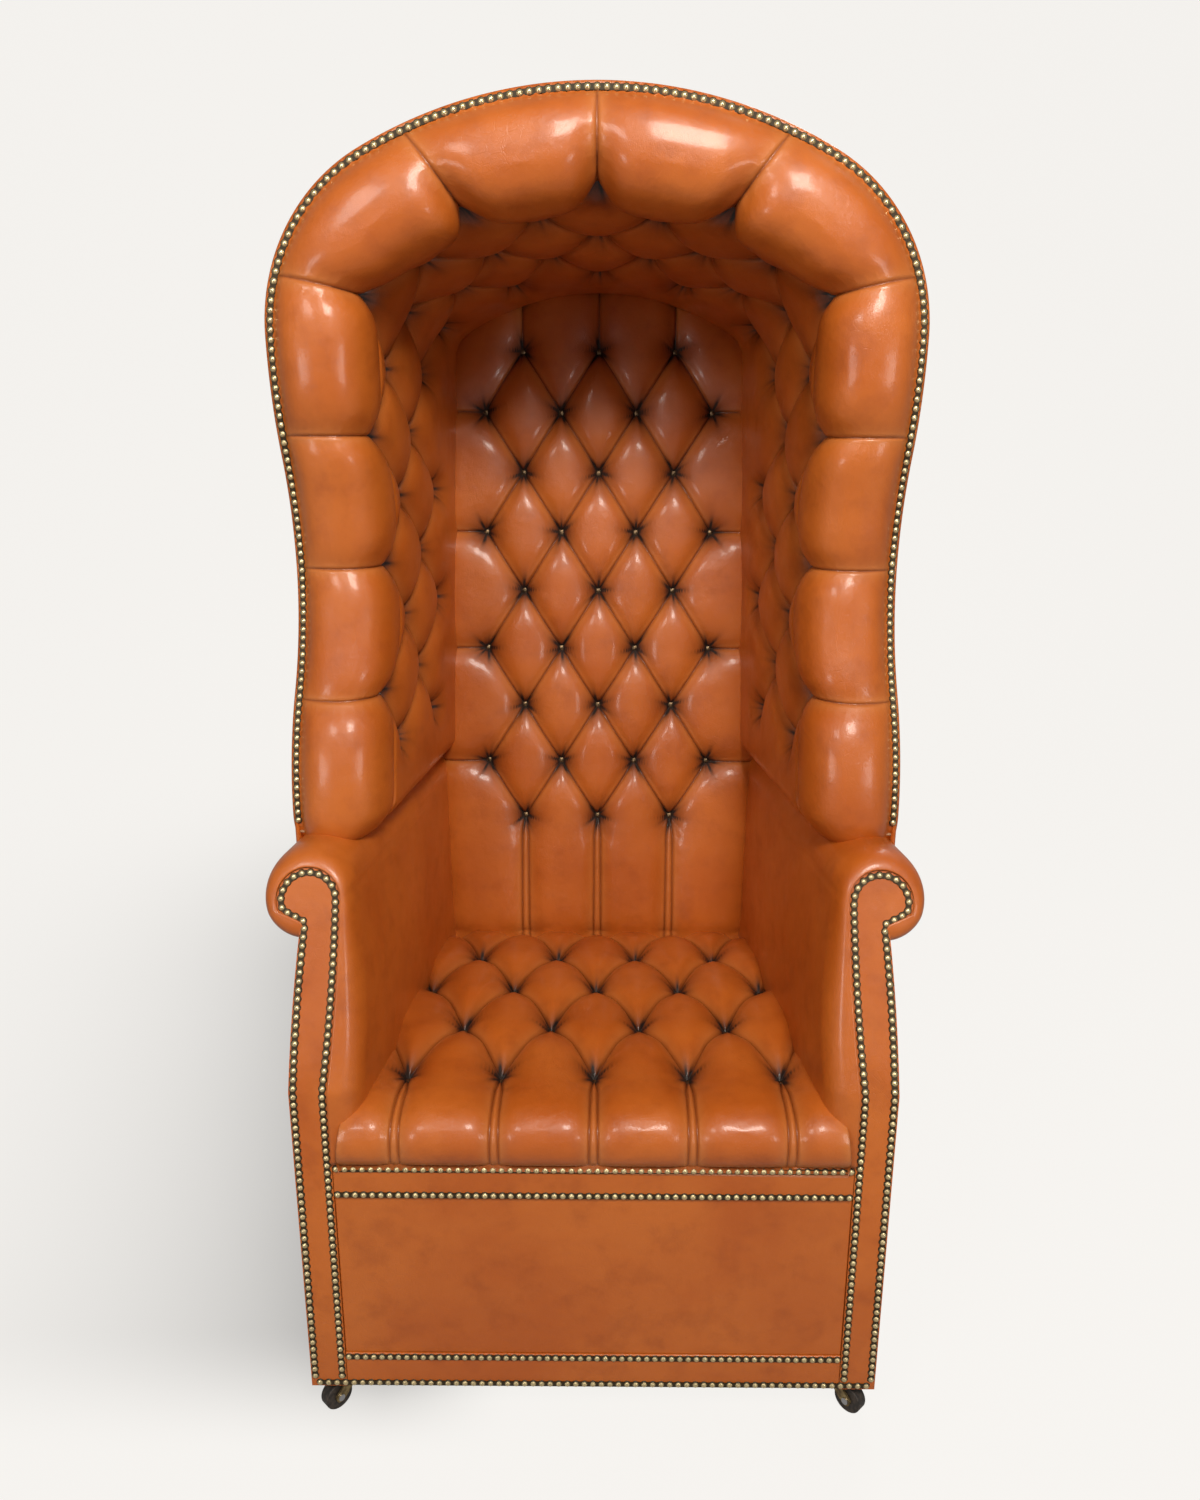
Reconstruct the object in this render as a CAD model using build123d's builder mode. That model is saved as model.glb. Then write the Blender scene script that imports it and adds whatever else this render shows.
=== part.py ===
import os
from math import asin, atan2, cos, degrees, radians, sin, sqrt, tan

from build123d import *

os.makedirs("parts", exist_ok=True)

# Base box. Depths are measured back from the front of the base, heights from the floor.
base_front_width = 716.0
base_back_width = 574.0
base_depth = 590.0
base_bottom = 55.0
board_thickness = 12.0
panel_thickness = 6.0
fit_gap = 0.3
running_gap = 0.05
overrun = 400.0

# Arms: fronts lean back above the crease and end in a scroll
crease_height = 480.0
arm_front_lean = 21.2
facing_width = 45.0
scroll_inset = 17.5
scroll_rise = 225.0
scroll_radius = 38.0
scroll_hook_angle = 22.0
facing_waist_inset = 9.0
facing_waist_rise = 199.0
arm_roll_height = 692.0
arm_roll_radius = 50.0
arm_roll_inset = 3.0
arm_inner_inset = 60.0
outside_arm_waist = 10.0
arm_rail_height = 560.0
arm_rail_depth = 40.0
arm_rail_thickness = 22.0
arm_rail_inset = 18.0

# Hood and wings: the wing stands on the arm roll, outside the base's side
hood_overhang = 41.0
wing_foot_depth = 175.0
wing_waist_depth = 242.0
hood_front_depth = 197.0
wing_foot_height = 760.0
wing_waist_height = 1065.0
hood_spring_height = 1330.0
hood_front_crown = 1588.0
hood_back_crown = 1515.0
hood_front_shoulder = 218.0
hood_back_shoulder = 128.0
hood_padding = 86.0
nail_strip = 13.0
roll_front_bulge = 25.0
roll_inner_depth = 50.0
roll_nose_depth = 12.0
roll_middle_inset = 48.0
roll_overlap = 2.0
hood_nail_inset = 7.0
hood_nail_foot = 752.0
lining_backing_inset = 34.0

# Back
back_lean = 6.0
back_pad_lean = 7.5
back_pad_depth = 506.0
back_pad_reference = 458.0
back_pad_half_width = 256.0
back_pad_bottom = 395.0
back_pad_crown = 1466.0
back_pad_shoulder = 90.0
pleat_width = 6.0
pleat_depth = 7.0

# Seat
seat_rail_top = 382.0
seat_rail_height = 42.0
apron_top = 336.0
apron_bottom = 106.0
apron_recess = 2.0
seat_front_bulge = 20.0
seat_nose_height = 414.0
seat_front_height = 446.0
seat_crown_height = 462.0
seat_back_height = 447.0
seat_front_crown_depth = 30.0
seat_step_depth = 20.0
seat_crown_depth = 250.0

# Timber
rail_thickness = 22.0
bottom_rail_height = 42.0
post_width = 38.0
post_depth = 40.0
back_post_inner = 220.0
back_post_width = 36.0
back_post_depth = 34.0
hoop_thickness = 20.0
hoop_depth = 36.0
hoop_inset = 8.0
slat_width = 34.0
slat_thickness = 10.0
slat_count = 5
block_leg = 60.0
block_height = 40.0
timber_clearance = 2.0
hoop_clearance = 6.0

# Springs and deck
spring_wire = 4.0
spring_count = 5
spring_spacing = 86.0
spring_loop_width = 52.0
spring_pitch = 30.0
spring_bend_radius = 13.5
clip_width = 14.0
clip_height = 7.0
deck_thickness = 5.0

# Tufts
button_pitch = 114.0
button_row_pitch = 87.8
back_top_button_height = 1338.0
back_row_count = 9
groove_width = 26.0
groove_depth = 11.0
dimple_radius = 19.0
dimple_depth = 24.0
hood_button_lift = 16.0
button_radius = 7.5
button_height = 5.0
seat_button_pitch = 118.0
seat_button_row_pitch = 108.0
seat_first_button_depth = 102.0
seat_row_count = 4
seat_button_margin = 20.0
hood_button_pitch = 157.0
hood_button_row_pitch = 80.0
hood_row_count = 5
hood_button_count = 15
tuft_margin = 25.0

# Nails
nail_radius = 5.0
nail_height = 2.6
nail_pitch = 10.4
base_nail_pitch = 10.9
back_nail_pitch = 22.0
nail_inset = 8.0
facing_nail_inset = 5.5
slope_step = 1.0
seat_nail_height = 377.0
apron_top_nail_height = 341.0
apron_bottom_nail_height = 101.0
base_nail_height = 61.0

# Castors
bottom_cover_margin = 110.0
bottom_cover_thickness = 3.0
castor_pivot_inset = 38.0
castor_front_depth = 45.0
castor_back_depth = 545.0
castor_trail = 28.0
castor_front_angle = -45.0
castor_back_angle = 80.0
plate_size = 44.0
plate_thickness = 3.0
pivot_radius = 5.0
pivot_head_radius = 7.0
pivot_head_height = 1.6
horn_cap_radius = 14.0
horn_cap_height = 6.7
wheel_radius = 19.0
wheel_width = 16.0
wheel_gap = 0.5
cheek_thickness = 3.0
cheek_boss_radius = 7.0
axle_radius = 3.0
axle_head_radius = 4.5
axle_head_height = 1.5
screw_radius = 2.0
screw_head_radius = 3.2
screw_head_height = 1.2
screw_spacing = 32.0

# The origin is on the floor under the middle of the whole chair
back_crown_reach = (hood_back_crown - base_bottom) * tan(radians(back_lean))
front_y = (seat_front_bulge - base_depth - back_crown_reach - nail_height) / 2
taper = (base_front_width - base_back_width) / 2 / base_depth
toe = degrees(atan2(taper, 1))
out = Vector(cos(radians(toe)), sin(radians(toe)), 0)
along = Vector(-sin(radians(toe)), cos(radians(toe)), 0)


def half_width(depth):
    """Half the base's outer width at a depth behind its front."""
    return base_front_width / 2 - depth * taper


def side_plane(offset):
    """A plane along the right side, offset outward: x runs back, y up, z outward."""
    corner = Vector(base_front_width / 2, front_y, 0)
    return Plane(origin=corner + out * offset, x_dir=along, z_dir=out)


def section_plane(length):
    """A plane across the right side, length behind its front corner: x out, y up, z forward."""
    corner = Vector(base_front_width / 2, front_y, 0)
    return Plane(origin=corner + along * length, x_dir=out, z_dir=-along)


def leaning_plane(depth, height, lean, inset=0):
    """A forward-facing plane that leans back by an angle, moved forward by inset."""
    facing = Vector(0, -cos(radians(lean)), sin(radians(lean)))
    start = Vector(0, front_y + depth, height)
    return Plane(origin=start + facing * inset, x_dir=(1, 0, 0), z_dir=facing)


def arm_front(inset=0):
    """The arms' leaning front face, moved forward by inset."""
    return leaning_plane(0, crease_height, arm_front_lean, inset)


def outside_back(inset=0):
    """The outside back's face, moved forward by inset."""
    return leaning_plane(base_depth, base_bottom, back_lean, inset)


def back_pad_face(inset=0):
    """The back pad's face, moved forward by inset."""
    return leaning_plane(back_pad_depth, back_pad_reference, back_pad_lean, inset)


def front_face(inset=0):
    """The upright front of the base, moved forward by inset."""
    return leaning_plane(0, 0, 0, inset)


def plan(front, back, inset):
    """The base's tapered outline between two depths, drawn in from its sides."""
    near = half_width(front) - inset
    far = half_width(back) - inset
    Polygon(
        (-near, front_y + front),
        (near, front_y + front),
        (far, front_y + back),
        (-far, front_y + back),
        align=None,
    )


def arch_sizes(depth, inset):
    """Half width, crown height and shoulder radius of the hood at a depth, drawn in by inset."""
    back_depth = base_depth + (hood_spring_height - base_bottom) * tan(radians(back_lean))
    share = (depth - hood_front_depth) / (back_depth - hood_front_depth)
    crown = hood_front_crown + share * (hood_back_crown - hood_front_crown)
    shoulder = hood_front_shoulder + share * (hood_back_shoulder - hood_front_shoulder)
    return half_width(depth) + hood_overhang - inset, crown - inset, shoulder - inset


def arch_points(half, crown, shoulder, foot):
    """Half of a three-centred arch: its springing, shoulder middle, joint and crown."""
    rise = crown - foot
    big = (half**2 - 2 * half * shoulder + rise**2) / (2 * (rise - shoulder))
    turn = atan2(big - rise, half - shoulder)
    middle = (half - shoulder + shoulder * cos(turn / 2), foot + shoulder * sin(turn / 2))
    joint = (half - shoulder + shoulder * cos(turn), foot + shoulder * sin(turn))
    return (half, foot), middle, joint, (0, crown)


def mirrored(point):
    """The same point on the left of the middle."""
    return (-point[0], point[1])


def arch_line(half, crown, shoulder, foot):
    """An arch from the right springing over the crown to the left one."""
    spring, middle, joint, top = arch_points(half, crown, shoulder, foot)
    ThreePointArc(spring, middle, joint)
    ThreePointArc(joint, top, mirrored(joint))
    ThreePointArc(mirrored(joint), mirrored(middle), mirrored(spring))


def arch_band(outer, inner, foot):
    """The band between two arches with the same springing height."""
    with BuildLine() as band:
        arch_line(*outer, foot)
        arch_line(*inner, foot)
        Line((outer[0], foot), (inner[0], foot))
        Line((-outer[0], foot), (-inner[0], foot))
    make_face(band.edges())


def wing_depth(height):
    """Depth of the wing's front edge at a height."""
    if height >= wing_waist_height:
        start, end = wing_waist_depth, hood_front_depth
        low, high = wing_waist_height, hood_spring_height
    else:
        start, end = wing_foot_depth, wing_waist_depth
        low, high = wing_foot_height, wing_waist_height
    height = min(max(height, low), high)
    step, rise = abs(end - start), high - low
    radius = (step**2 + rise**2) / (4 * step)
    if height < (low + high) / 2:
        moved = radius - sqrt(radius**2 - (height - low) ** 2)
    else:
        moved = step - radius + sqrt(radius**2 - (high - height) ** 2)
    return start + (moved if end > start else -moved)


def wing_front(shift=0, foot=wing_foot_height):
    """The wing's front edge in side view, from its foot to the springing, moved back by shift."""

    def place(height):
        return (wing_depth(height) / cos(radians(toe)) + shift, height)

    Line((place(foot)[0], foot), place(wing_foot_height))
    for low, high in (
        (wing_foot_height, wing_waist_height),
        (wing_waist_height, hood_spring_height),
    ):
        turn = (low + high) / 2
        for start, end in ((low, turn), (turn, high)):
            ThreePointArc(place(start), place((start + end) / 2), place(end))


def groove_between(start, end, normal):
    """A vee-shaped channel from one point to another, open along a normal."""
    run = end - start
    plane = Plane(origin=start, x_dir=run.cross(normal), z_dir=run)
    upward = plane.to_local_coords(start + normal)
    sign = 1 if upward.Y > 0 else -1
    with BuildPart(mode=Mode.PRIVATE) as channel:
        with BuildSketch(plane):
            Polygon(
                (-groove_width / 2 - groove_width, sign * 2 * groove_depth),
                (groove_width / 2 + groove_width, sign * 2 * groove_depth),
                (0, -sign * groove_depth),
                align=None,
            )
        extrude(amount=run.length)
    return channel.part


def dimple_at(place, normal):
    """A tapered pit with a flat foot that takes a button."""
    with BuildPart(mode=Mode.PRIVATE) as pit:
        with BuildSketch(Plane(origin=place - normal * dimple_depth, z_dir=normal)):
            Circle(button_radius + fit_gap)
        with BuildSketch(Plane(origin=place + normal * dimple_depth, z_dir=normal)):
            Circle(2 * dimple_radius - button_radius)
        loft()
    return pit.part


def dome(radius, height):
    """A head shaped as a cap of a ball, standing on the plane's origin."""
    ball = (radius**2 + height**2) / (2 * height)
    half_angle = asin(radius / ball) / 2
    middle = (ball * sin(half_angle), height - ball + ball * cos(half_angle))
    with BuildPart(mode=Mode.PRIVATE) as head:
        with BuildSketch(Plane.XZ):
            with BuildLine():
                ThreePointArc((radius, 0), middle, (0, height))
                Line((0, height), (0, 0))
                Line((0, 0), (radius, 0))
            make_face()
        revolve(axis=Axis.Z)
    return head.part


def button_at(place, normal):
    """A domed button on the foot of its dimple."""
    foot = Plane(origin=place - normal * dimple_depth, z_dir=normal)
    return foot.location * dome(button_radius, button_height)


def nails_on(places):
    """A row of domed nail heads, one on each plane."""
    head = dome(nail_radius, nail_height)
    return [place.location * head for place in places]


def spaced(length, pitch):
    """Places along a length, evenly spaced near a pitch, clear of both ends by half a space."""
    count = max(1, round(length / pitch))
    return [(step + 0.5) * length / count for step in range(count)]


# Timber of the base
post_foot = base_bottom + panel_thickness
rail_inset = panel_thickness
back_inner_face = panel_thickness

with BuildPart() as bottom_board:
    with BuildSketch(Plane.XY.offset(base_bottom)):
        plan(board_thickness, base_depth - panel_thickness, panel_thickness + fit_gap)
    extrude(amount=panel_thickness)
    split(bisect_by=outside_back(back_inner_face + fit_gap), keep=Keep.TOP)

with BuildPart() as bottom_cover:
    with BuildSketch(Plane.XY.offset(base_bottom - bottom_cover_thickness)):
        plan(bottom_cover_margin, base_depth - bottom_cover_margin, bottom_cover_margin)
    extrude(amount=bottom_cover_thickness)

with BuildPart() as front_posts:
    with BuildSketch(side_plane(-rail_inset - post_width)):
        with BuildLine():
            Polyline(
                (board_thickness + 2 * fit_gap, post_foot),
                (board_thickness + 2 * fit_gap + post_depth, post_foot),
                (board_thickness + 2 * fit_gap + post_depth, crease_height),
                (board_thickness + 2 * fit_gap, crease_height),
                close=True,
            )
        make_face()
    extrude(amount=post_width)
    split(bisect_by=arm_front(-board_thickness - 2 * fit_gap), keep=Keep.BOTTOM)
    split(bisect_by=front_face(-board_thickness), keep=Keep.BOTTOM)
    mirror(about=Plane.YZ)

with BuildPart() as back_posts:
    with BuildSketch(outside_back(back_inner_face)):
        with Locations(
            (back_post_inner + back_post_width / 2, (post_foot - base_bottom)),
        ):
            Rectangle(
                back_post_width,
                (hood_spring_height - post_foot) / cos(radians(back_lean)),
                align=(Align.CENTER, Align.MIN),
            )
    extrude(amount=back_post_depth)
    split(bisect_by=Plane.XY.offset(post_foot), keep=Keep.TOP)
    split(bisect_by=Plane.XY.offset(hood_spring_height), keep=Keep.BOTTOM)
    mirror(about=Plane.YZ)


def front_rail(low, high):
    """A rail between the front posts, behind the apron."""
    post_inner = half_width(board_thickness + post_depth) - rail_inset - post_width
    inner = post_inner - timber_clearance
    with BuildPart(mode=Mode.PRIVATE) as rail:
        with BuildSketch(Plane.XY.offset(low)):
            with Locations((0, front_y + board_thickness + rail_thickness / 2)):
                Rectangle(2 * inner, rail_thickness)
        extrude(amount=high - low)
    return rail.part


def back_rail(low, high):
    """A rail between the back posts."""
    depth = base_depth + (low - base_bottom) * tan(radians(back_lean))
    with BuildPart(mode=Mode.PRIVATE) as rail:
        with BuildSketch(Plane.XY.offset(low)):
            with Locations((0, front_y + depth - back_inner_face - back_post_depth / 2)):
                Rectangle(2 * back_post_inner, rail_thickness)
        extrude(amount=high - low)
    return rail.part


def side_rails(low, high):
    """A pair of rails behind the front posts, along the side panels."""
    start = board_thickness + post_depth + 3 * fit_gap
    end = base_depth - post_depth
    with BuildPart(mode=Mode.PRIVATE) as rail:
        with BuildSketch(side_plane(-rail_inset - rail_thickness)):
            with Locations(((start + end) / 2, (low + high) / 2)):
                Rectangle(end - start, high - low)
        extrude(amount=rail_thickness)
        mirror(about=Plane.YZ)
    return rail.part


bottom_rail_top = post_foot + bottom_rail_height
seat_rail_foot = seat_rail_top - seat_rail_height
with BuildPart() as bottom_end_rails:
    add(front_rail(post_foot, bottom_rail_top))
    add(back_rail(post_foot, bottom_rail_top))
with BuildPart() as seat_front_rail:
    add(front_rail(seat_rail_foot, seat_rail_top))
with BuildPart() as seat_back_rail:
    add(back_rail(seat_rail_foot, seat_rail_top))
with BuildPart() as bottom_side_rails:
    add(side_rails(post_foot, bottom_rail_top))
with BuildPart() as seat_side_rails:
    add(side_rails(seat_rail_foot, seat_rail_top))

with BuildPart() as corner_blocks:
    block_start = board_thickness + rail_thickness + fit_gap
    block_side = rail_inset + post_width + fit_gap
    with BuildSketch(Plane.XY.offset(seat_rail_foot)):
        with BuildLine():
            corner = (
                half_width(block_start) - block_side - timber_clearance,
                front_y + block_start,
            )
            Polyline(
                corner,
                (corner[0] - block_leg, corner[1]),
                (corner[0], corner[1] + block_leg),
                close=True,
            )
        make_face()
        mirror(about=Plane.YZ)
    extrude(amount=block_height)

# Outside panels
section_top = arm_roll_height - sqrt(
    arm_roll_radius**2 - (outside_arm_waist - arm_roll_inset) ** 2
)
panel_top = section_top - fit_gap
with BuildPart() as side_panel_right:
    with BuildSketch(section_plane(board_thickness + fit_gap)):
        with BuildLine():
            Line((0, base_bottom), (0, crease_height))
            TangentArc((0, crease_height), (-outside_arm_waist, panel_top), tangent=(0, 1))
            Line(
                (-outside_arm_waist, panel_top),
                (-outside_arm_waist - panel_thickness, panel_top),
            )
            TangentArc(
                (-panel_thickness, crease_height),
                (-outside_arm_waist - panel_thickness, panel_top),
                tangent=(0, 1),
            )
            Line((-panel_thickness, crease_height), (-panel_thickness, base_bottom))
            Line((-panel_thickness, base_bottom), (0, base_bottom))
        make_face()
    extrude(amount=-base_depth - overrun)
    split(bisect_by=outside_back(back_inner_face + fit_gap), keep=Keep.TOP)
    split(bisect_by=arm_front(-board_thickness), keep=Keep.BOTTOM)
    split(bisect_by=front_face(-board_thickness), keep=Keep.BOTTOM)

with BuildPart() as wing_panel_right:
    wing_panel_foot = arm_roll_height + sqrt(
        arm_roll_radius**2 - (hood_overhang - panel_thickness + arm_roll_inset) ** 2
    )
    with BuildSketch(side_plane(hood_overhang - panel_thickness)):
        with BuildLine():
            wing_front(0, wing_panel_foot)
            high = (hood_front_depth / cos(radians(toe)), hood_spring_height)
            Polyline(
                high,
                (base_depth + overrun, hood_spring_height),
                (base_depth + overrun, wing_panel_foot),
                (wing_foot_depth / cos(radians(toe)), wing_panel_foot),
            )
        make_face()
    extrude(amount=panel_thickness)
    split(bisect_by=outside_back(back_inner_face + fit_gap), keep=Keep.TOP)

loft_depth = base_depth + base_depth / 3
with BuildPart() as hood_shell:
    for depth in (hood_front_depth, loft_depth):
        with BuildSketch(front_face(-depth)):
            arch_band(
                arch_sizes(depth, 0), arch_sizes(depth, panel_thickness), hood_spring_height
            )
    loft(ruled=True)
    split(bisect_by=outside_back(back_inner_face + fit_gap), keep=Keep.TOP)

with BuildPart() as back_panel:
    panel_edge = half_width(base_depth)
    hood_edge = half_width(base_depth + back_crown_reach) + hood_overhang
    slope = 1 / cos(radians(back_lean))
    roll_foot = (arm_roll_height - arm_roll_radius - base_bottom) * slope
    roll_middle = (arm_roll_height - base_bottom) * slope
    with BuildSketch(outside_back()):
        with BuildLine():
            spring_rise = (hood_spring_height - base_bottom) * slope
            crown_rise = (hood_back_crown - base_bottom) * slope
            Line((-panel_edge, 0), (panel_edge, 0))
            for side in (1, -1):
                Line((side * panel_edge, 0), (side * panel_edge, roll_foot))
                Spline(
                    (side * panel_edge, roll_foot),
                    (side * hood_edge, roll_middle),
                    tangents=((0, 1), (0, 1)),
                )
                Line((side * hood_edge, roll_middle), (side * hood_edge, spring_rise))
            arch_line(hood_edge, crown_rise, hood_back_shoulder, spring_rise)
        make_face()
    extrude(amount=panel_thickness)
    split(bisect_by=Plane.XY.offset(base_bottom), keep=Keep.TOP)

# Bent hoops and slats of the hood
with BuildPart() as front_hoop:
    for depth in (hood_front_depth, hood_front_depth + hoop_depth):
        with BuildSketch(front_face(-depth)):
            arch_band(
                arch_sizes(depth, hoop_inset),
                arch_sizes(hood_front_depth, hoop_inset + hoop_thickness),
                hood_spring_height,
            )
    loft(ruled=True)
    stile_offset = hood_overhang - panel_thickness - fit_gap - hoop_thickness
    stile_foot = arm_roll_height + sqrt(
        arm_roll_radius**2 - (stile_offset + arm_roll_inset) ** 2
    )
    with BuildPart(mode=Mode.PRIVATE) as stile:
        with BuildSketch(side_plane(stile_offset)):
            with BuildLine():
                wing_front(fit_gap, stile_foot)
                wing_front(hoop_depth, stile_foot)
                for foot, depth in (
                    (stile_foot, wing_foot_depth),
                    (hood_spring_height, hood_front_depth),
                ):
                    start = depth / cos(radians(toe))
                    Line((start + fit_gap, foot), (start + hoop_depth, foot))
            make_face()
        extrude(amount=hoop_thickness)
    add(stile.part)
    add(mirror(stile.part, about=Plane.YZ, mode=Mode.PRIVATE))

with BuildPart() as back_hoop:
    hoop_crown = (back_pad_crown - base_bottom) * slope
    outer_arch = (
        back_pad_half_width,
        hoop_crown - hoop_clearance,
        back_pad_shoulder,
    )
    inner_arch = (
        back_pad_half_width - back_post_width,
        hoop_crown - hoop_clearance - back_post_width,
        back_pad_shoulder - back_post_width,
    )
    with BuildSketch(outside_back(back_inner_face)):
        arch_band(outer_arch, inner_arch, spring_rise)
    extrude(amount=back_post_depth)
    split(bisect_by=Plane.XY.offset(hood_spring_height), keep=Keep.TOP)


def arch_place(depth, inset, travel):
    """Point and outward direction on the hood's arch, travel along it right of the crown."""
    half, crown, shoulder = arch_sizes(depth, inset)
    rise = crown - hood_spring_height
    big = (half**2 - 2 * half * shoulder + rise**2) / (2 * (rise - shoulder))
    turn = atan2(big - rise, half - shoulder)
    crown_length = big * (radians(90) - turn)
    distance = abs(travel)
    if distance < crown_length:
        angle = radians(90) - distance / big
        across, height = big * cos(angle), crown - big + big * sin(angle)
    else:
        angle = max(0, turn - (distance - crown_length) / shoulder)
        across = half - shoulder + shoulder * cos(angle)
        height = hood_spring_height + shoulder * sin(angle)
    side = 1 if travel >= 0 else -1
    point = Vector(side * across, front_y + depth, height)
    return point, Vector(side * cos(angle), 0, sin(angle))


def arch_length(depth, inset):
    """Length of the arch from its crown to its springing."""
    half, crown, shoulder = arch_sizes(depth, inset)
    rise = crown - hood_spring_height
    big = (half**2 - 2 * half * shoulder + rise**2) / (2 * (rise - shoulder))
    turn = atan2(big - rise, half - shoulder)
    return big * (radians(90) - turn) + shoulder * turn


with BuildPart() as hood_slats:
    for share in spaced(2, 2 / slat_count):
        with BuildPart(mode=Mode.PRIVATE) as slat:
            for depth in (hood_front_depth + hoop_depth, loft_depth):
                inset = hoop_inset + slat_thickness / 2
                length = arch_length(depth, inset)
                point, outward = arch_place(depth, inset, (share - 1) * length)
                crosswise = Vector(outward.Z, 0, -outward.X)
                with BuildSketch(Plane(origin=point, x_dir=crosswise, z_dir=(0, -1, 0))):
                    Rectangle(slat_width, slat_thickness)
            loft()
            split(bisect_by=outside_back(back_inner_face + fit_gap), keep=Keep.TOP)
        add(slat.part)


def scroll_line(inset):
    """The arm front's outline from its inner foot over the scroll to its outer foot."""
    outer = base_front_width / 2
    inner = outer - facing_width + inset
    across = outer - scroll_inset
    radius = scroll_radius - inset
    hook = radians(scroll_hook_angle)
    hook_end = (across + radius * cos(hook), scroll_rise - radius * sin(hook))
    hook_middle = (across + radius * cos(hook / 2), scroll_rise - radius * sin(hook / 2))
    waist = (outer - facing_waist_inset - inset, facing_waist_rise)
    TangentArc((across - radius, scroll_rise), (inner, 0), tangent=(0, -1))
    ThreePointArc(
        (across - radius, scroll_rise),
        (across, scroll_rise + radius),
        (across + radius, scroll_rise),
    )
    ThreePointArc((across + radius, scroll_rise), hook_middle, hook_end)
    Line(hook_end, waist)
    TangentArc((outer - inset, 0), waist, tangent=(0, 1))


# Leather-covered boards of the front
with BuildPart() as facing_right:
    with BuildSketch(front_face()):
        with BuildLine():
            Polyline(
                (base_front_width / 2 - facing_width, base_bottom),
                (base_front_width / 2, base_bottom),
                (base_front_width / 2, crease_height),
                (base_front_width / 2 - facing_width, crease_height),
                close=True,
            )
        make_face()
    extrude(amount=-board_thickness)
    with BuildPart(mode=Mode.PRIVATE) as scroll_board:
        with BuildSketch(arm_front()):
            with BuildLine():
                scroll_line(0)
                outer = base_front_width / 2
                foot = -board_thickness * tan(radians(arm_front_lean / 2))
                Polyline(
                    (outer - facing_width, 0),
                    (outer - facing_width, foot),
                    (outer, foot),
                    (outer, 0),
                )
            make_face()
        extrude(amount=-board_thickness)
        split(bisect_by=front_face(), keep=Keep.BOTTOM)
    add(scroll_board.part)

apron_half = base_front_width / 2 - facing_width - fit_gap


def apron_board(low, high, recess):
    """A board between the facings, set back from the front."""
    with BuildPart(mode=Mode.PRIVATE) as board:
        with BuildSketch(front_face(-recess)):
            with Locations((0, (low + high) / 2)):
                Rectangle(2 * apron_half, high - low)
        extrude(amount=-(board_thickness - recess))
    return board.part


with BuildPart() as apron_bottom_band:
    add(apron_board(base_bottom, apron_bottom, 0))
with BuildPart() as apron_panel:
    add(apron_board(apron_bottom, apron_top, apron_recess))
with BuildPart() as apron_top_band:
    add(apron_board(apron_top, seat_rail_top, 0))

deck_foot = seat_rail_top + spring_wire + fit_gap
seat_foot = deck_foot + deck_thickness + fit_gap


def pad_envelope(gap=0):
    """The block behind the back pad's face that the pad and the posts fill."""
    slope = 1 / cos(radians(back_pad_lean))
    foot = (back_pad_bottom - back_pad_reference) * slope
    spring = (hood_spring_height - back_pad_reference) * slope
    crown = (back_pad_crown - back_pad_reference) * slope
    half = back_pad_half_width + gap
    with BuildPart(mode=Mode.PRIVATE) as block:
        with BuildSketch(back_pad_face(gap)):
            with BuildLine():
                Polyline((half, spring), (half, foot), (-half, foot), (-half, spring))
                arch_line(half, crown + gap, back_pad_shoulder, spring)
            make_face()
        extrude(amount=-base_depth / 2)
    return block.part


# Rolled arm pads and the rails inside them
with BuildPart() as arm_rail_right:
    with BuildSketch(side_plane(-arm_rail_inset - arm_rail_thickness)):
        with BuildLine():
            Polyline(
                (0, arm_rail_height),
                (base_depth + overrun, arm_rail_height),
                (base_depth + overrun, arm_rail_height + arm_rail_depth),
                (0, arm_rail_height + arm_rail_depth),
                close=True,
            )
        make_face()
    extrude(amount=arm_rail_thickness)
    split(bisect_by=outside_back(back_inner_face + fit_gap), keep=Keep.TOP)
    split(bisect_by=arm_front(-board_thickness - fit_gap), keep=Keep.BOTTOM)
    add(pad_envelope(fit_gap), mode=Mode.SUBTRACT)


def arm_roll_round(gap):
    """The round of the arm roll along the whole side, grown by a gap."""
    with BuildPart(mode=Mode.PRIVATE) as roll:
        with BuildSketch(section_plane(0)):
            with Locations((-arm_roll_inset, arm_roll_height)):
                Circle(arm_roll_radius + gap)
        extrude(amount=-base_depth - overrun)
    return roll.part


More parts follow.
